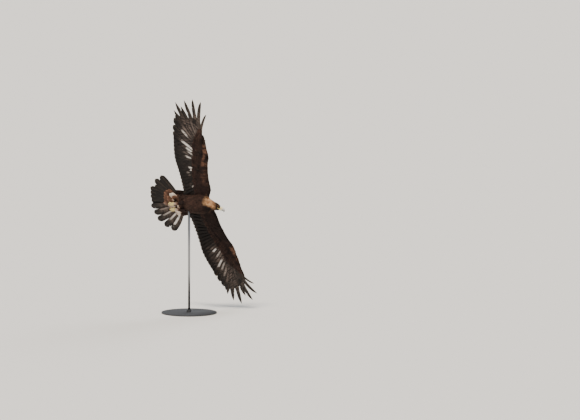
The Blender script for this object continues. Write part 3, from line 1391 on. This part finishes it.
# The dark and the light of each marking
MARKINGS = {
    "brown": ("#0a0606", "#302221"),
    "gold": ("#7c4b2c", "#efc290"),
    "tawny": ("#301e17", "#966c56"),
    "cream": ("#b0937e", "#f2e6d8"),
}


def marked_colour(paint, tone):
    """Brown, golden, tawny and cream by their weights, each from its dark to its light by tone."""
    shades = {}
    for key, (dark, light) in MARKINGS.items():
        shade = {"Factor": tone, "A": colour(dark), "B": colour(light)}
        shades[key] = paint(MIX, shade, data_type="RGBA")
    marked = shades["brown"]
    for key in ("gold", "tawny", "cream"):
        weight = paint(ATTRIBUTE, attribute_name=key).outputs["Fac"]
        marked = paint(MIX, {"Factor": weight, "A": marked, "B": shades[key]}, data_type="RGBA")
    return marked


def barb_streaks(paint, barb_mm, slope):
    """A feather's own tone, the way off its shaft, the place along its barbs and streaks along them."""
    measure = paint(ATTRIBUTE, attribute_name="measure").outputs["Vector"]
    x, y, tone = paint("ShaderNodeSeparateXYZ", {"Vector": measure}).outputs
    off_shaft = paint(MATH, {0: y}, operation="ABSOLUTE")
    slanted = paint(MATH, {0: off_shaft, 1: -slope, 2: x}, operation="MULTIPLY_ADD")
    drawn_out = paint(MATH, {0: y, 1: 0.07}, operation="MULTIPLY")
    place = paint("ShaderNodeCombineXYZ", {"X": slanted, "Y": drawn_out, "Z": tone})
    streaks = paint(NOISE, {"Vector": place, "Scale": 1 / (barb_mm * MM), "Detail": 2.0})
    return tone, off_shaft, place, streaks


# %% Soft contour plumage
CONTOUR_BARB, FLIGHT_BARB = 1.1, 1.6
CONTOUR_BLOTCH = 28


def contour_finish():
    """Small body feathers: soft and matt, dark at the heart with a paler worn tip, and uneven."""
    levels = {"Roughness": 0.78, "Specular IOR Level": 0.15}
    levels |= {"Sheen Weight": 0.05, "Sheen Tint": colour("#b98d62")}
    finish, paint, dress = new_finish("soft contour plumage", levels)
    tone, _, _, streaks = barb_streaks(paint, CONTOUR_BARB, 1.3)
    along = paint(ATTRIBUTE, attribute_name="along").outputs["Fac"]
    tip = {"Value": along, "From Min": 0.6, "From Max": 1.0, "To Max": 0.4}
    worn = paint(RANGE, tip, interpolation_type=SMOOTH)
    toned = paint(MATH, {0: tone, 1: 0.42, 2: worn}, operation="MULTIPLY_ADD")
    streaked = paint(MATH, {0: streaks, 1: 0.7, 2: -0.3}, operation="MULTIPLY_ADD")
    single = paint(MATH, {0: toned, 1: streaked}, operation="ADD")
    place = paint(COORDINATES).outputs["Object"]
    blotches = paint(NOISE, {"Vector": place, "Scale": 1 / (CONTOUR_BLOTCH * MM), "Detail": 2.0})
    patchy = paint(MATH, {0: blotches, 1: 1.3, 2: -0.65}, operation="MULTIPLY_ADD")
    lightness = paint(MATH, {0: single, 1: patchy}, operation="ADD", use_clamp=True)
    bump = paint(BUMP, {"Height": streaks, "Strength": 0.7, "Distance": 0.35 * MM})
    dress({"Base Color": marked_colour(paint, lightness), "Normal": bump})
    return finish


# %% Stiff flight plumage
MARBLE_MM = 11
SHAFT_EDGE_MM = (1.6, 0.9)


def marbled_vane(paint, tone, place, streaks, along):
    """A near black vane with a grey brown marbling on its inner two thirds, stronger from below."""
    below, grey = (paint(ATTRIBUTE, attribute_name=name).outputs["Fac"] for name in ("below", "grey"))
    toned = paint(MATH, {0: tone, 1: 0.5, 2: -0.28}, operation="MULTIPLY_ADD")
    lightness = paint(MATH, {0: streaks, 1: 0.9, 2: toned}, operation="MULTIPLY_ADD", use_clamp=True)
    dark_brown = {"Factor": lightness, "A": colour("#060404"), "B": colour("#1e1714")}
    vane = paint(MIX, dark_brown, data_type="RGBA")
    marble = {"Vector": place, "Scale": 1 / (MARBLE_MM * MM), "Detail": 3.0, "Roughness": 0.65}
    marbling = paint(NOISE, marble)
    broken = {"Value": marbling, "From Min": 0.42, "From Max": 0.62}
    inner = {"Value": along, "From Min": 0.9, "From Max": 0.55}
    under = paint(MATH, {0: below, 1: 0.5, 2: 0.12}, operation="MULTIPLY_ADD")
    share = paint(MATH, {0: grey, 1: under}, operation="MULTIPLY")
    for limits in (broken, inner):
        inside = paint(RANGE, limits, interpolation_type=SMOOTH)
        share = paint(MATH, {0: share, 1: inside}, operation="MULTIPLY")
    greyed = paint(MIX, {"Factor": share, "A": vane, "B": colour("#806f66")}, data_type="RGBA")
    return greyed, marbling


def white_patch(paint, marbling, streaks, along):
    """How white the vane is where a feather carries a patch: ragged streaks along its inner web."""
    signed = paint(ATTRIBUTE, attribute_name="across").outputs["Fac"]
    pale, pale_at, pale_reach = (
        paint(ATTRIBUTE, attribute_name=name).outputs["Fac"] for name in ("pale", "pale_at", "pale_reach")
    )
    past_middle = paint(MATH, {0: along, 1: pale_at}, operation="SUBTRACT")
    off_middle = paint(MATH, {0: past_middle}, operation="ABSOLUTE")
    nearness = paint(MATH, {0: off_middle, 1: pale_reach}, operation="DIVIDE")
    ragged = paint(MATH, {0: marbling, 1: 3.2, 2: nearness}, operation="MULTIPLY_ADD")
    limits = (
        {"Value": ragged, "From Min": 2.8, "From Max": 2.3},
        {"Value": signed, "From Min": -0.1, "From Max": -0.42, "To Min": 0.1},
        {"Value": signed, "From Min": -0.95, "From Max": -0.68},
    )
    strength = pale
    for limit in limits:
        inside = paint(RANGE, limit, interpolation_type=SMOOTH)
        strength = paint(MATH, {0: strength, 1: inside}, operation="MULTIPLY")
    streaked = paint(MATH, {0: streaks, 1: 0.5, 2: strength}, operation="MULTIPLY_ADD")
    full_white = paint(RANGE, {"Value": streaked, "From Min": 0.55, "From Max": 1.2})
    mottled = paint(RANGE, {"Value": marbling, "From Min": 0.36, "From Max": 0.5, "To Min": 0.45})
    share = paint(MATH, {0: full_white, 1: mottled}, operation="MULTIPLY")
    whiter = paint(RANGE, {"Value": pale, "From Min": 0.4, "From Max": 1.0})
    tint = {"Factor": whiter, "A": colour("#8a7468"), "B": colour("#e4ddd6")}
    return share, paint(MIX, tint, data_type="RGBA")


def flight_finish():
    """Wing and tail vanes: stiff and silky, near black at the tip, mottled grey and white at the base."""
    finish, paint, dress = new_finish("stiff flight plumage", {"Roughness": 0.5, "Specular IOR Level": 0.2})
    tone, off_shaft, place, streaks = barb_streaks(paint, FLIGHT_BARB, 0.9)
    along = paint(ATTRIBUTE, attribute_name="along").outputs["Fac"]
    marbled, marbling = marbled_vane(paint, tone, place, streaks, along)
    share, tint = white_patch(paint, marbling, streaks, along)
    whitened = paint(MIX, {"Factor": share, "A": marbled, "B": tint}, data_type="RGBA")

    # The shaft is horn, paler than the vane
    outside, inside = (edge * MM for edge in SHAFT_EDGE_MM)
    on_shaft = paint(RANGE, {"Value": off_shaft, "From Min": outside, "From Max": inside, "To Max": 0.7})
    horned = paint(MIX, {"Factor": on_shaft, "A": whitened, "B": colour("#5f5042")}, data_type="RGBA")
    bump = paint(BUMP, {"Height": streaks, "Strength": 0.7, "Distance": 0.5 * MM})
    dress({"Base Color": horned, "Normal": bump})
    return finish


# %% Down
FLUFF_MM = 4


def skin_finish():
    """The down between the feathers, in the same markings but darker."""
    finish, paint, dress = new_finish("down over skin", {"Roughness": 0.9, "Specular IOR Level": 0.1})
    place = paint(COORDINATES).outputs["Object"]
    fluff = paint(NOISE, {"Vector": place, "Scale": 1 / (FLUFF_MM * MM), "Detail": 3.0})
    shade = paint(MATH, {0: fluff, 1: 0.45}, operation="MULTIPLY")
    bump = paint(BUMP, {"Height": fluff, "Strength": 0.8, "Distance": 1 * MM})
    dress({"Base Color": marked_colour(paint, shade), "Normal": bump})
    return finish


contour_plumage, flight_plumage, down = contour_finish(), flight_finish(), skin_finish()

# %% Grow the drawn rows
stiff = {"patterns": drawer_of_patterns, "skin": skin, "finish": flight_plumage}
soft = {**stiff, "finish": contour_plumage}
drawn = {}
for hand in WINGS:
    drawn[f"flight_feathers_{hand}"] = (flight_rows(hand), stiff)
    drawn[f"wing_coverts_{hand}"] = (covert_rows(hand), soft)
drawn["tail_feathers"] = (rectrix_rows(), stiff)
drawn["flank_feathers"] = (flank_rows(), soft)
drawn["tail_coverts"] = (tail_covert_rows(), soft)
feathers = {}
for name, (rows, look) in drawn.items():
    feathers[name] = grown(name, root_mesh(name, rows), lay_feathers, **look)

# %% Grow the coat
CONTOURS, HACKLES = ("contour 0", "contour 3"), ("hackle 0", "hackle 2")
# Spacing, lift and sink in millimetres
COATS = {
    "body": (5.8, 5.2, 1.0, CONTOURS),
    "neck": (3.8, 5.0, 1.0, HACKLES),
    "head": (2.2, 2.6, 0.6, HACKLES),
    "legs": (4.0, 3.5, 0.8, CONTOURS),
    "wing_left": (5.6, 3.6, 0.8, CONTOURS),
    "wing_right": (5.6, 3.6, 0.8, CONTOURS),
}
for seed, (region, (spacing, lift, sink, patterns)) in enumerate(COATS.items()):
    first, last = (pattern_number[key] for key in patterns)
    sizes = {"spacing": spacing * MM, "lift": lift * MM, "sink": sink * MM}
    choice = {"cover": f"cover_{region}", "seed": seed, "first_pattern": first, "last_pattern": last}
    name = f"coat_{region}"
    feathers[name] = grown(name, skin.data.copy(), scatter_feathers, **sizes, **choice, **soft)
skin.data.materials.append(down)
print("feathers, triangles:", sum(triangles(piece.data) for piece in feathers.values()))

# %% [markdown]
# ## Bill
#
# The bill is two shells of horn. The upper one starts in a soft yellow cere, in which the nostrils
# open, and ends in a hook that overhangs the lower one. They could be sculpted, but lofts along
# bent lines through the same stations as the solids stay true to them, with many more rings; each
# vertex remembers how far along the bill it lies, and the colour turns from cere to pale horn to a
# black tip by that. The yellow lips of the gape run back from the mouth's corner to under the eye.

# %% A finished piece from lofted tubes
def finished_piece(name, points, faces, smooth, finish):
    """An object in its finish, with a flag for each face that is shaded smooth."""
    mesh = plain_mesh(name, points, faces)
    mesh.polygons.foreach_set("use_smooth", smooth)
    mesh.materials.append(finish)
    print(name, "triangles:", triangles(mesh))
    return link_object(name, mesh)


def shaped(name, tubes, finish):
    """One piece from tubes of rings in the bird's frame; it keeps how far along each point is."""
    points, faces = joined_lofts(tubes)
    made = finished_piece(name, points, faces, [True] * len(faces), finish)
    along = [np.repeat(np.linspace(0, 1, len(rings)), len(rings[0])) for rings in tubes]
    put_attribute(made.data, "along", np.concatenate(along))
    return made


def grained_finish(name, levels, grain_mm, strength, depth_mm, detail=2.0):
    """A material of one colour with a fine grain that only bumps it."""
    finish, paint, dress = new_finish(name, levels)
    place = paint(COORDINATES).outputs["Object"]
    grain = paint(NOISE, {"Vector": place, "Scale": 1 / (grain_mm * MM), "Detail": detail})
    dress({"Normal": paint(BUMP, {"Height": grain, "Strength": strength, "Distance": depth_mm * MM})})
    return finish


# %% Bill shells
# Stations of the bill: x, z, pitch in degrees, half width, and half height above and below
UPPER_BILL = [
    [22, 3, 0, 13.5, 13, 11], [40, 2, 4, 14, 13.5, 10], [50, 1, 14, 12.5, 13.5, 9],
    [60, -1, 26, 10.5, 13.5, 8], [68, -5, 42, 8.5, 11.5, 6.5], [74.5, -11.5, 62, 6, 7.5, 5],
    [77, -19, 82, 3.6, 4, 3.2], [76.5, -26, 96, 1.2, 1.3, 1.2],
]
LOWER_BILL = [
    [22, -13, 0, 12, 4.5, 6], [38, -13, 0, 11.5, 4.5, 6], [52, -13, 0, 9.5, 4, 5.5],
    [62, -12.5, -8, 7, 3.2, 4.5], [68, -11.5, -14, 3.5, 1.8, 2.2],
]
CERE_END, CERE_STEP, CERE_SWELL = 0.36, 0.03, 0.5
BILL_SQUARE = 1.9
SOFT_GLOW = (0.002, 0.001, 0.0005)


def bill_rings(stations, count, cere_swell):
    """Rings through the stations in the bird's frame; the cere stands a little proud of the horn."""
    marks = np.linspace(0, 1, len(stations))
    x, z, pitch, wide, above, below = station_curves(np.column_stack([marks, stations]))
    rings = []
    for t in np.linspace(0, 1, count):
        turn = Matrix.Rotation(math.radians(float(pitch(t))), 4, "Y")
        swell = cere_swell * float(1 - smoothstep(CERE_END - CERE_STEP, CERE_END, t))
        sizes = (wide(t) + swell, above(t) + swell, below(t))
        ring = oval_ring((x(t), 0, z(t)), turn, *sizes, sides=36, square=BILL_SQUARE)
        rings.append(moved(ring, HEAD))
    return rings


# %% Cere and horn
def bill_finish():
    """Soft yellow cere, then satin horn that darkens from pale grey to black at the hook."""
    levels = {"Roughness": 0.32, "Subsurface Weight": 0.1, "Subsurface Radius": SOFT_GLOW}
    finish, paint, dress = new_finish("cere and horn", levels)
    along = paint(ATTRIBUTE, attribute_name="along").outputs["Fac"]
    place = paint(COORDINATES).outputs["Object"]
    wavy = paint(NOISE, {"Vector": place, "Scale": 1 / (7 * MM), "Detail": 2.0})
    edge = paint(MATH, {0: wavy, 1: 0.05, 2: along}, operation="MULTIPLY_ADD")
    horn = paint(RANGE, {"Value": edge, "From Min": CERE_END + 0.02, "From Max": CERE_END + 0.05})
    black = paint(RANGE, {"Value": edge, "From Min": 0.58, "From Max": 0.86}, interpolation_type=SMOOTH)
    dark = paint(MIX, {"Factor": black, "A": colour("#c6c3bc"), "B": colour("#141416")}, data_type="RGBA")
    whole = paint(MIX, {"Factor": horn, "A": colour("#ecdcaa"), "B": dark}, data_type="RGBA")
    grain = paint(NOISE, {"Vector": place, "Scale": 1 / (1.2 * MM), "Detail": 2.0})
    bump = paint(BUMP, {"Height": grain, "Strength": 0.35, "Distance": 0.3 * MM})
    dress({"Base Color": whole, "Normal": bump})
    return finish


horn = bill_finish()
bill_upper = shaped("bill_upper", [bill_rings(UPPER_BILL, 60, CERE_SWELL)], horn)
bill_lower = shaped("bill_lower", [bill_rings(LOWER_BILL, 30, 0)], horn)

# %% Nostrils
NOSTRIL, NOSTRIL_SIZES = (46, 12.2, 5), (2.2, 2.4, 3.4)


def cut_pit(target, place, radii):
    """Cut an oval pit with a boolean; the cutter goes afterwards."""
    bpy.ops.mesh.primitive_uv_sphere_add(segments=24, ring_count=12, radius=1)
    cutter = bpy.context.object
    head_turn = (BIRD @ HEAD).to_quaternion().to_matrix().to_4x4()
    sizes = Matrix.Diagonal((*(r * MM for r in radii), 1))
    cutter.matrix_world = Matrix.Translation(to_scene(moved([place], HEAD))[0]) @ head_turn @ sizes
    modifier = target.modifiers.new("pit", "BOOLEAN")
    modifier.operation, modifier.object, modifier.solver = "DIFFERENCE", cutter, "EXACT"
    mesh = plain_copy(target)
    target.modifiers.clear()
    target.data = mesh
    bpy.data.objects.remove(cutter)


for side in (1, -1):
    cut_pit(bill_upper, np.array(NOSTRIL) * (1, side, 1), NOSTRIL_SIZES)
print("bill_upper with nostrils, triangles:", triangles(bill_upper.data))

# %% Lips of the gape
LIP_FRONT, LIP_REAR, LIP_THICK, LIP_POINT = 44, 10, 2.3, 0.4
LIP_LINE = [[5, -14], [14, -12.5], [24, -11.5], [34, -10.5], [44, -9.5]]
# The lip lies on the skull's side, past the skull's end on the bill, and a little proud of both
SKULL_END, ON_BILL, PROUD = 35.9, 9.5, 0.9
# Bare skin round mouth and eyes is fine grained and slightly moist, so light softens in it
MOIST = {"Subsurface Weight": 0.15, "Subsurface Radius": SOFT_GLOW}
lip_height = smooth_curve(LIP_LINE)


def skull_side(x, z):
    """How far out the skin lies from the head's middle plane, at a place along and up it."""
    z = z - skull_middle(x)
    tall = (skull_above(x) if z > 0 else skull_below(x)) - HEAD_COAT
    round_off = max(1 - (abs(z) / tall) ** SKULL_SQUARE, 0) ** (1 / SKULL_SQUARE)
    return (skull_wide(x) - HEAD_COAT) * round_off


def lip_rings(side):
    """A lip that follows the bill, then the skull's side, and thins to both ends."""
    rings = []
    for x in np.linspace(LIP_FRONT, LIP_REAR, 30):
        z = float(lip_height(x))
        out = float(skull_side(min(x, SKULL_END), z)) + PROUD
        if x > SKULL_END:
            out = max(out, ON_BILL)
        share = (x - LIP_REAR + LIP_POINT) / (LIP_FRONT - LIP_REAR + 2 * LIP_POINT)
        thick = LIP_THICK * math.sin(math.pi * share) ** 0.5
        ring = oval_ring((x, side * out, z), LEVEL, thick, thick * 0.9, thick * 0.9, sides=12)
        rings.append(moved(ring, HEAD))
    return rings


gape_colour = {"Base Color": colour("#e6d08a"), "Roughness": 0.45}
gape_skin = grained_finish("yellow gape skin", {**gape_colour, **MOIST}, 0.8, 0.5, 0.3)
gape = shaped("gape", [lip_rings(side) for side in (1, -1)], gape_skin)

# %% [markdown]
# ## Eyes
#
# An eagle's eyes are large, face sideways and a little forwards, and sit under a bony brow that
# gives the stern look. An iris could lie inside a clear shell, but at this size one ball with a
# bulging cornea looks the same: the pupil and the hazel iris are painted by the angle off its gaze,
# and a clear coat gives the wet shine. A dark lid rings it.

# %% Eyeballs and lids
GAZE_TURN = math.radians(18)
PUPIL, IRIS = 0.42, 1.02
CORNEA_BULGE, CORNEA_SPREAD = 0.7, 0.55
LID_WIDE, LID_ABOVE, LID_BELOW, LID_THICK = 8.4, 4.8, 7.0, 0.9
# How far the lid's front corner drops and its rear one rises
FROWN = 1.2


def facing_frame(side):
    """A matrix in the head's frame whose x axis is the eye's gaze and whose z is up."""
    ahead = Vector((math.sin(GAZE_TURN), side * math.cos(GAZE_TURN), 0))
    across = Vector((0, 0, 1)).cross(ahead).normalized()
    turn = Matrix((ahead, across, Vector((0, 0, 1)))).transposed().to_4x4()
    return Matrix.Translation((EYE_PLACE.x, side * EYE_PLACE.y, EYE_PLACE.z)) @ turn


def eye_rings(side):
    rings = []
    for angle in np.linspace(0.02, math.pi - 0.02, 40):
        radius = EYE_RADIUS + CORNEA_BULGE * math.exp(-((angle / CORNEA_SPREAD) ** 2))
        size = radius * math.sin(angle)
        ring = oval_ring((radius * math.cos(angle), 0, 0), LEVEL, size, size, size, sides=32)
        rings.append(moved(ring, HEAD @ facing_frame(side)))
    return rings


def lid_rings(side):
    """A soft ring round the opening, lower and thicker above, so that it shades the eye."""
    rings = []
    for angle in np.linspace(0, 2 * math.pi, 41):
        up, across = math.sin(angle), math.cos(angle)
        height = up * (LID_ABOVE if up > 0 else LID_BELOW) + side * across * FROWN
        opening = Vector((0, across * LID_WIDE, height))
        depth = math.sqrt(max((EYE_RADIUS + 0.4) ** 2 - opening.length_squared, 0))
        outwards, forwards = Vector((0, across, up)), Vector((1, 0, 0))
        thick = LID_THICK + 0.4 * max(up, 0)
        ring = []
        for turn in np.linspace(0, 2 * math.pi, 14, endpoint=False):
            reach = outwards * (1.1 * math.cos(turn) + 0.8) + forwards * (0.8 * math.sin(turn) - 0.2)
            ring.append(opening + forwards * depth + reach * thick)
        rings.append(moved(ring, HEAD @ facing_frame(side)))
    return rings


# %% Wet eyes
def eye_finish():
    """A wet ball: black pupil, hazel iris with a dark rim, under a clear coat."""
    levels = {"Roughness": 0.15, "Specular IOR Level": 0.2, "Coat Weight": 0.4, "Coat Roughness": 0.03}
    finish, paint, dress = new_finish("wet eye", levels)
    along = paint(ATTRIBUTE, attribute_name="along").outputs["Fac"]
    angle = paint(MATH, {0: along, 1: math.pi}, operation="MULTIPLY")
    iris = paint(RANGE, {"Value": angle, "From Min": PUPIL, "From Max": PUPIL + 0.05})
    rim = paint(RANGE, {"Value": angle, "From Min": IRIS - 0.12, "From Max": IRIS})
    place = paint(COORDINATES).outputs["Object"]
    flecks = paint(NOISE, {"Vector": place, "Scale": 1 / (0.9 * MM), "Detail": 2.0})
    hazel = paint(MIX, {"Factor": flecks, "A": colour("#54300f"), "B": colour("#9c6828")}, data_type="RGBA")
    inner = paint(MIX, {"Factor": iris, "A": colour("#050404"), "B": hazel}, data_type="RGBA")
    whole = paint(MIX, {"Factor": rim, "A": inner, "B": colour("#140d08")}, data_type="RGBA")
    dress({"Base Color": whole})
    return finish


wet_eye = eye_finish()
lid_colour = {"Base Color": colour("#241c17"), "Roughness": 0.7}
lid_skin = grained_finish("lid skin", {**lid_colour, **MOIST}, 0.8, 0.5, 0.3)
eyes = {hand: shaped(f"eye_{hand}", [eye_rings(wing["side"])], wet_eye) for hand, wing in WINGS.items()}
lids = shaped("lids", [lid_rings(side) for side in (1, -1)], lid_skin)

# %% [markdown]
# ## Feet
#
# The feet are tucked back under the tail with the toes half closed. Each toe is a tube along the
# same curling path as the solid one, with swollen pads below its joints and rows of scutes above;
# a black claw carries each path on, bending faster. The scutes could be a pattern on a plain tube,
# but they show at the toe's edge, so they are true ridges: the tube's upper half swells and drops.

# %% Toes
ANKLE = (-180.3, 28, -55)
TOE_SIZES = ("curl", "spread", "start", "rise", "bend", "length", "thick", "claw")
TOE_TABLE = {
    "inner": (1, -9, (-6, -8, -7), -20, 45, 42, 6, 27),
    "middle": (1, 3, (-8, 0, -9), -20, 48, 50, 6.2, 27),
    "outer": (1, 15, (-6, 8, -7), -20, 45, 40, 5.4, 24),
    "hind": (-1, -4, (-5, -4, 13), -12, 60, 22, 6, 24),
}
TOES = {name: dict(zip(TOE_SIZES, sizes)) for name, sizes in TOE_TABLE.items()}
CLAW_BEND = {1: 15, -1: 50}
SCUTE, SCUTE_RISE, SCUTE_SINK = 3.4, 0.35, 0.3
PAD_SWELL, TOE_TAPER = 0.16, 0.68


def toe_ring(toe, side, along, above, below, sides):
    """A ring across the toe, or across its claw once past the toe's length."""
    curl, claw_bend, rise = toe["curl"], CLAW_BEND[toe["curl"]], math.radians(toe["rise"])
    at_joint = rise + min(along, toe["length"]) / toe["bend"]
    at_point = at_joint + max(along - toe["length"], 0) / claw_bend
    back = up = 0
    for bend, start, end in ((toe["bend"], rise, at_joint), (claw_bend, at_joint, at_point)):
        back += bend * (math.sin(end) - math.sin(start))
        up += bend * (math.cos(start) - math.cos(end))
    spread = Matrix.Rotation(-math.radians(toe["spread"]), 4, "Z")
    turn = spread @ Matrix.Rotation(curl * at_point, 4, "Y")
    centre = Vector(ANKLE) + Vector(toe["start"]) + spread @ Vector((-back, 0, curl * up))
    heights = (below, above) if curl < 0 else (above, below)
    return oval_ring(centre, turn, (above + below) / 2, *heights, sides) * (1, side, 1)


def toe_tube(toe, side):
    """Pads swell the inside of the curl, scutes ridge the outside."""
    rings = []
    for along in np.arange(0, toe["length"] + 0.1, SCUTE / 5):
        share = along / toe["length"]
        thick = toe["thick"] * mix(1, TOE_TAPER, share)
        pad = PAD_SWELL * toe["thick"] * math.sin(math.pi * 3 * share) ** 2
        scute = SCUTE_RISE * ((along / SCUTE) % 1) - SCUTE_SINK
        rings.append(toe_ring(toe, side, along, thick + pad, thick + scute, 18))
    return rings


# %% Claws and palms
CLAW_THIN, CLAW_POINT = 0.62, 0.5
PALM_PLACE, PALM_RADII, PALM_REACH = (-9, 0, 1), (13, 14, 14), 13


def claw_tube(toe, side):
    """From inside the toe's end to a blunt point, thinning faster towards it."""
    rings = []
    for share in np.linspace(0, 1, 26):
        thick = mix(toe["thick"] * CLAW_THIN, CLAW_POINT, share**1.3)
        along = toe["length"] - 1 + share * (toe["claw"] + 1)
        rings.append(toe_ring(toe, side, along, thick * 0.92, thick, 16))
    return rings


def palm_rings(side):
    rings = []
    for angle in np.linspace(0.05, math.pi - 0.05, 22):
        centre = np.add(ANKLE, PALM_PLACE) * (1, side, 1) + (PALM_REACH * math.cos(angle), 0, 0)
        rings.append(oval_ring(centre, LEVEL, *(r * math.sin(angle) for r in PALM_RADII), sides=28))
    return rings


# %% Scaly skin and black claws
def foot_finish():
    """Scaly yellow skin, greyer in the creases; real scales are finer and are drawn to show."""
    finish, paint, dress = new_finish("scaly foot skin", {"Roughness": 0.55})
    place = paint(COORDINATES).outputs["Object"]
    scale = {"Vector": place, "Scale": 1 / (2.4 * MM)}
    scales = paint("ShaderNodeTexVoronoi", scale, feature="DISTANCE_TO_EDGE")
    crease = paint(RANGE, {"Value": scales, "From Min": 0.0, "From Max": 0.12})
    whole = paint(MIX, {"Factor": crease, "A": colour("#9a8350"), "B": colour("#e0cb86")}, data_type="RGBA")
    bump = paint(BUMP, {"Height": crease, "Strength": 0.6, "Distance": 0.3 * MM})
    dress({"Base Color": whole, "Normal": bump})
    return finish


# Claws are black horn, polished by use, with faint growth lines
claw_colour = {"Base Color": colour("#131214"), "Roughness": 0.22}
claw_horn = grained_finish("black claw horn", claw_colour, 1.5, 0.3, 0.2)
foot_skin = foot_finish()
feet, claws = {}, {}
for hand, wing in WINGS.items():
    side = wing["side"]
    tubes = [palm_rings(side), *(toe_tube(toe, side) for toe in TOES.values())]
    feet[hand] = shaped(f"foot_{hand}", tubes, foot_skin)
    claws[hand] = shaped(f"claws_{hand}", [claw_tube(toe, side) for toe in TOES.values()], claw_horn)

# %% [markdown]
# ## The stand
#
# The bird is held by a plain stand that the photo doesn't have: a heavy round plate, powder coated
# so that it stays quiet, and a brushed steel rod in a turned boss. Plain cylinders would do for
# their sizes, but both are lathed, that is, a profile is swept round the upright axis, because
# that rounds every edge so that it catches a thin light.

# %% Lathing
BASE_RADIUS, BASE_THICK, BOSS_RADIUS, BOSS_TOP = 250, 10, 22, 30
ROD_RADIUS, ROD_FOOT, ROD_TOP = 10, 6, 973
ROD_GAP, AXIS_HOLE = 0.3, 0.5


def rounded_corner(radius, height, size, hollow=False):
    """Profile points round an outer top corner, or round the hollow at a boss's foot."""
    steps = np.linspace(0, math.pi / 2, 6)
    if hollow:
        return [(radius + size - size * math.sin(a), height + size - size * math.cos(a)) for a in steps]
    return [(radius - size + size * math.cos(a), height - size + size * math.sin(a)) for a in steps]


def lathed(name, profile, finish, sides=160):
    """Sweep a profile of radius and height, closed on the axis at both ends, round the upright axis."""
    upright = Matrix.Rotation(math.pi / 2, 4, "Y")
    rings = [oval_ring((0, 0, height), upright, r, r, r, sides) for r, height in profile]
    points, faces = loft(rings)
    return finished_piece(name, points * MM, faces, [len(face) == 4 for face in faces], finish)


# %% Brushed steel and powder coat
def brushed_steel():
    """Steel brushed lengthwise: bright, with fine scratches along the rod that stretch highlights."""
    levels = {"Base Color": colour("#8f9194"), "Roughness": 0.34, "Metallic": 1.0}
    finish, paint, dress = new_finish("brushed steel", levels)
    place = paint(COORDINATES).outputs["Object"]
    drawn_out = paint(VECTOR_MATH, {0: place, 1: (1, 1, 0.02)}, operation="MULTIPLY")
    scratches = paint(NOISE, {"Vector": drawn_out, "Scale": 1 / (0.6 * MM), "Detail": 2.0})
    dress({"Normal": paint(BUMP, {"Height": scratches, "Strength": 0.4, "Distance": 0.05 * MM})})
    return finish


# Baked paint: matt charcoal with the fine orange peel that powder leaves
paint_colour = {"Base Color": colour("#2b2d30"), "Roughness": 0.55}
powder_coat = grained_finish("charcoal powder coat", paint_colour, 1.5, 0.3, 0.1, detail=1.0)
steel = brushed_steel()

# %% Plate and rod
plate_profile = [
    (AXIS_HOLE, 0), (BASE_RADIUS - 0.5, 0), (BASE_RADIUS, 0.5),
    *rounded_corner(BASE_RADIUS, BASE_THICK, 2),
    *rounded_corner(BOSS_RADIUS, BASE_THICK, 4, hollow=True),
    *rounded_corner(BOSS_RADIUS, BOSS_TOP, 2),
    (ROD_RADIUS + ROD_GAP, BOSS_TOP), (ROD_RADIUS + ROD_GAP, ROD_FOOT - ROD_GAP),
    (AXIS_HOLE, ROD_FOOT - ROD_GAP),
]
rod_profile = [
    (AXIS_HOLE, ROD_FOOT), (ROD_RADIUS, ROD_FOOT), (ROD_RADIUS, ROD_TOP - 1),
    (ROD_RADIUS - 1, ROD_TOP), (AXIS_HOLE, ROD_TOP),
]
plate = lathed("stand_base", plate_profile, powder_coat)
rod = lathed("stand_rod", rod_profile, steel, sides=64)

# %% [markdown]
# ## Hand the pieces over
#
# Every piece rides on the one body, says which finish of the record it wears, and names the solids
# that it takes the place of. The skin stands for torso, neck, head and legs at once, and the long
# feathers for wing and tail; the coat and the coverts are added over them and replace nothing.

# %% Hand the pieces over
REPLACED = {
    "flight_feathers_left": ["wing_left"],
    "flight_feathers_right": ["wing_right"],
    "tail_feathers": ["tail"],
}


def hand_over(piece, slot, *nodes):
    """Fix a piece to the bird, give its slot and name the solids that it takes the place of."""
    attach(piece, "root")
    if nodes:
        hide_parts(*nodes)


hand_over(skin, "body_feathers", "torso", "neck", "head", "leg_left", "leg_right")
for name, piece in feathers.items():
    slot = "flight_feathers" if name.startswith(("flight", "tail")) else "body_feathers"
    hand_over(piece, slot, *REPLACED.get(name, []))
hand_over(bill_upper, "bill_horn", "bill_upper")
hand_over(bill_lower, "bill_horn", "bill_lower")
hand_over(plate, "stand_plate", "stand_base")
hand_over(rod, "stand_rod", "stand_rod")
hand_over(gape, "foot_skin")
hand_over(lids, "foot_skin")
for hand in WINGS:
    hand_over(eyes[hand], "eye", f"eye_{hand}")
    hand_over(feet[hand], "foot_skin", f"foot_{hand}")
    hand_over(claws[hand], "claw_horn", *(f"claw_{hand}_{toe}" for toe in TOES))
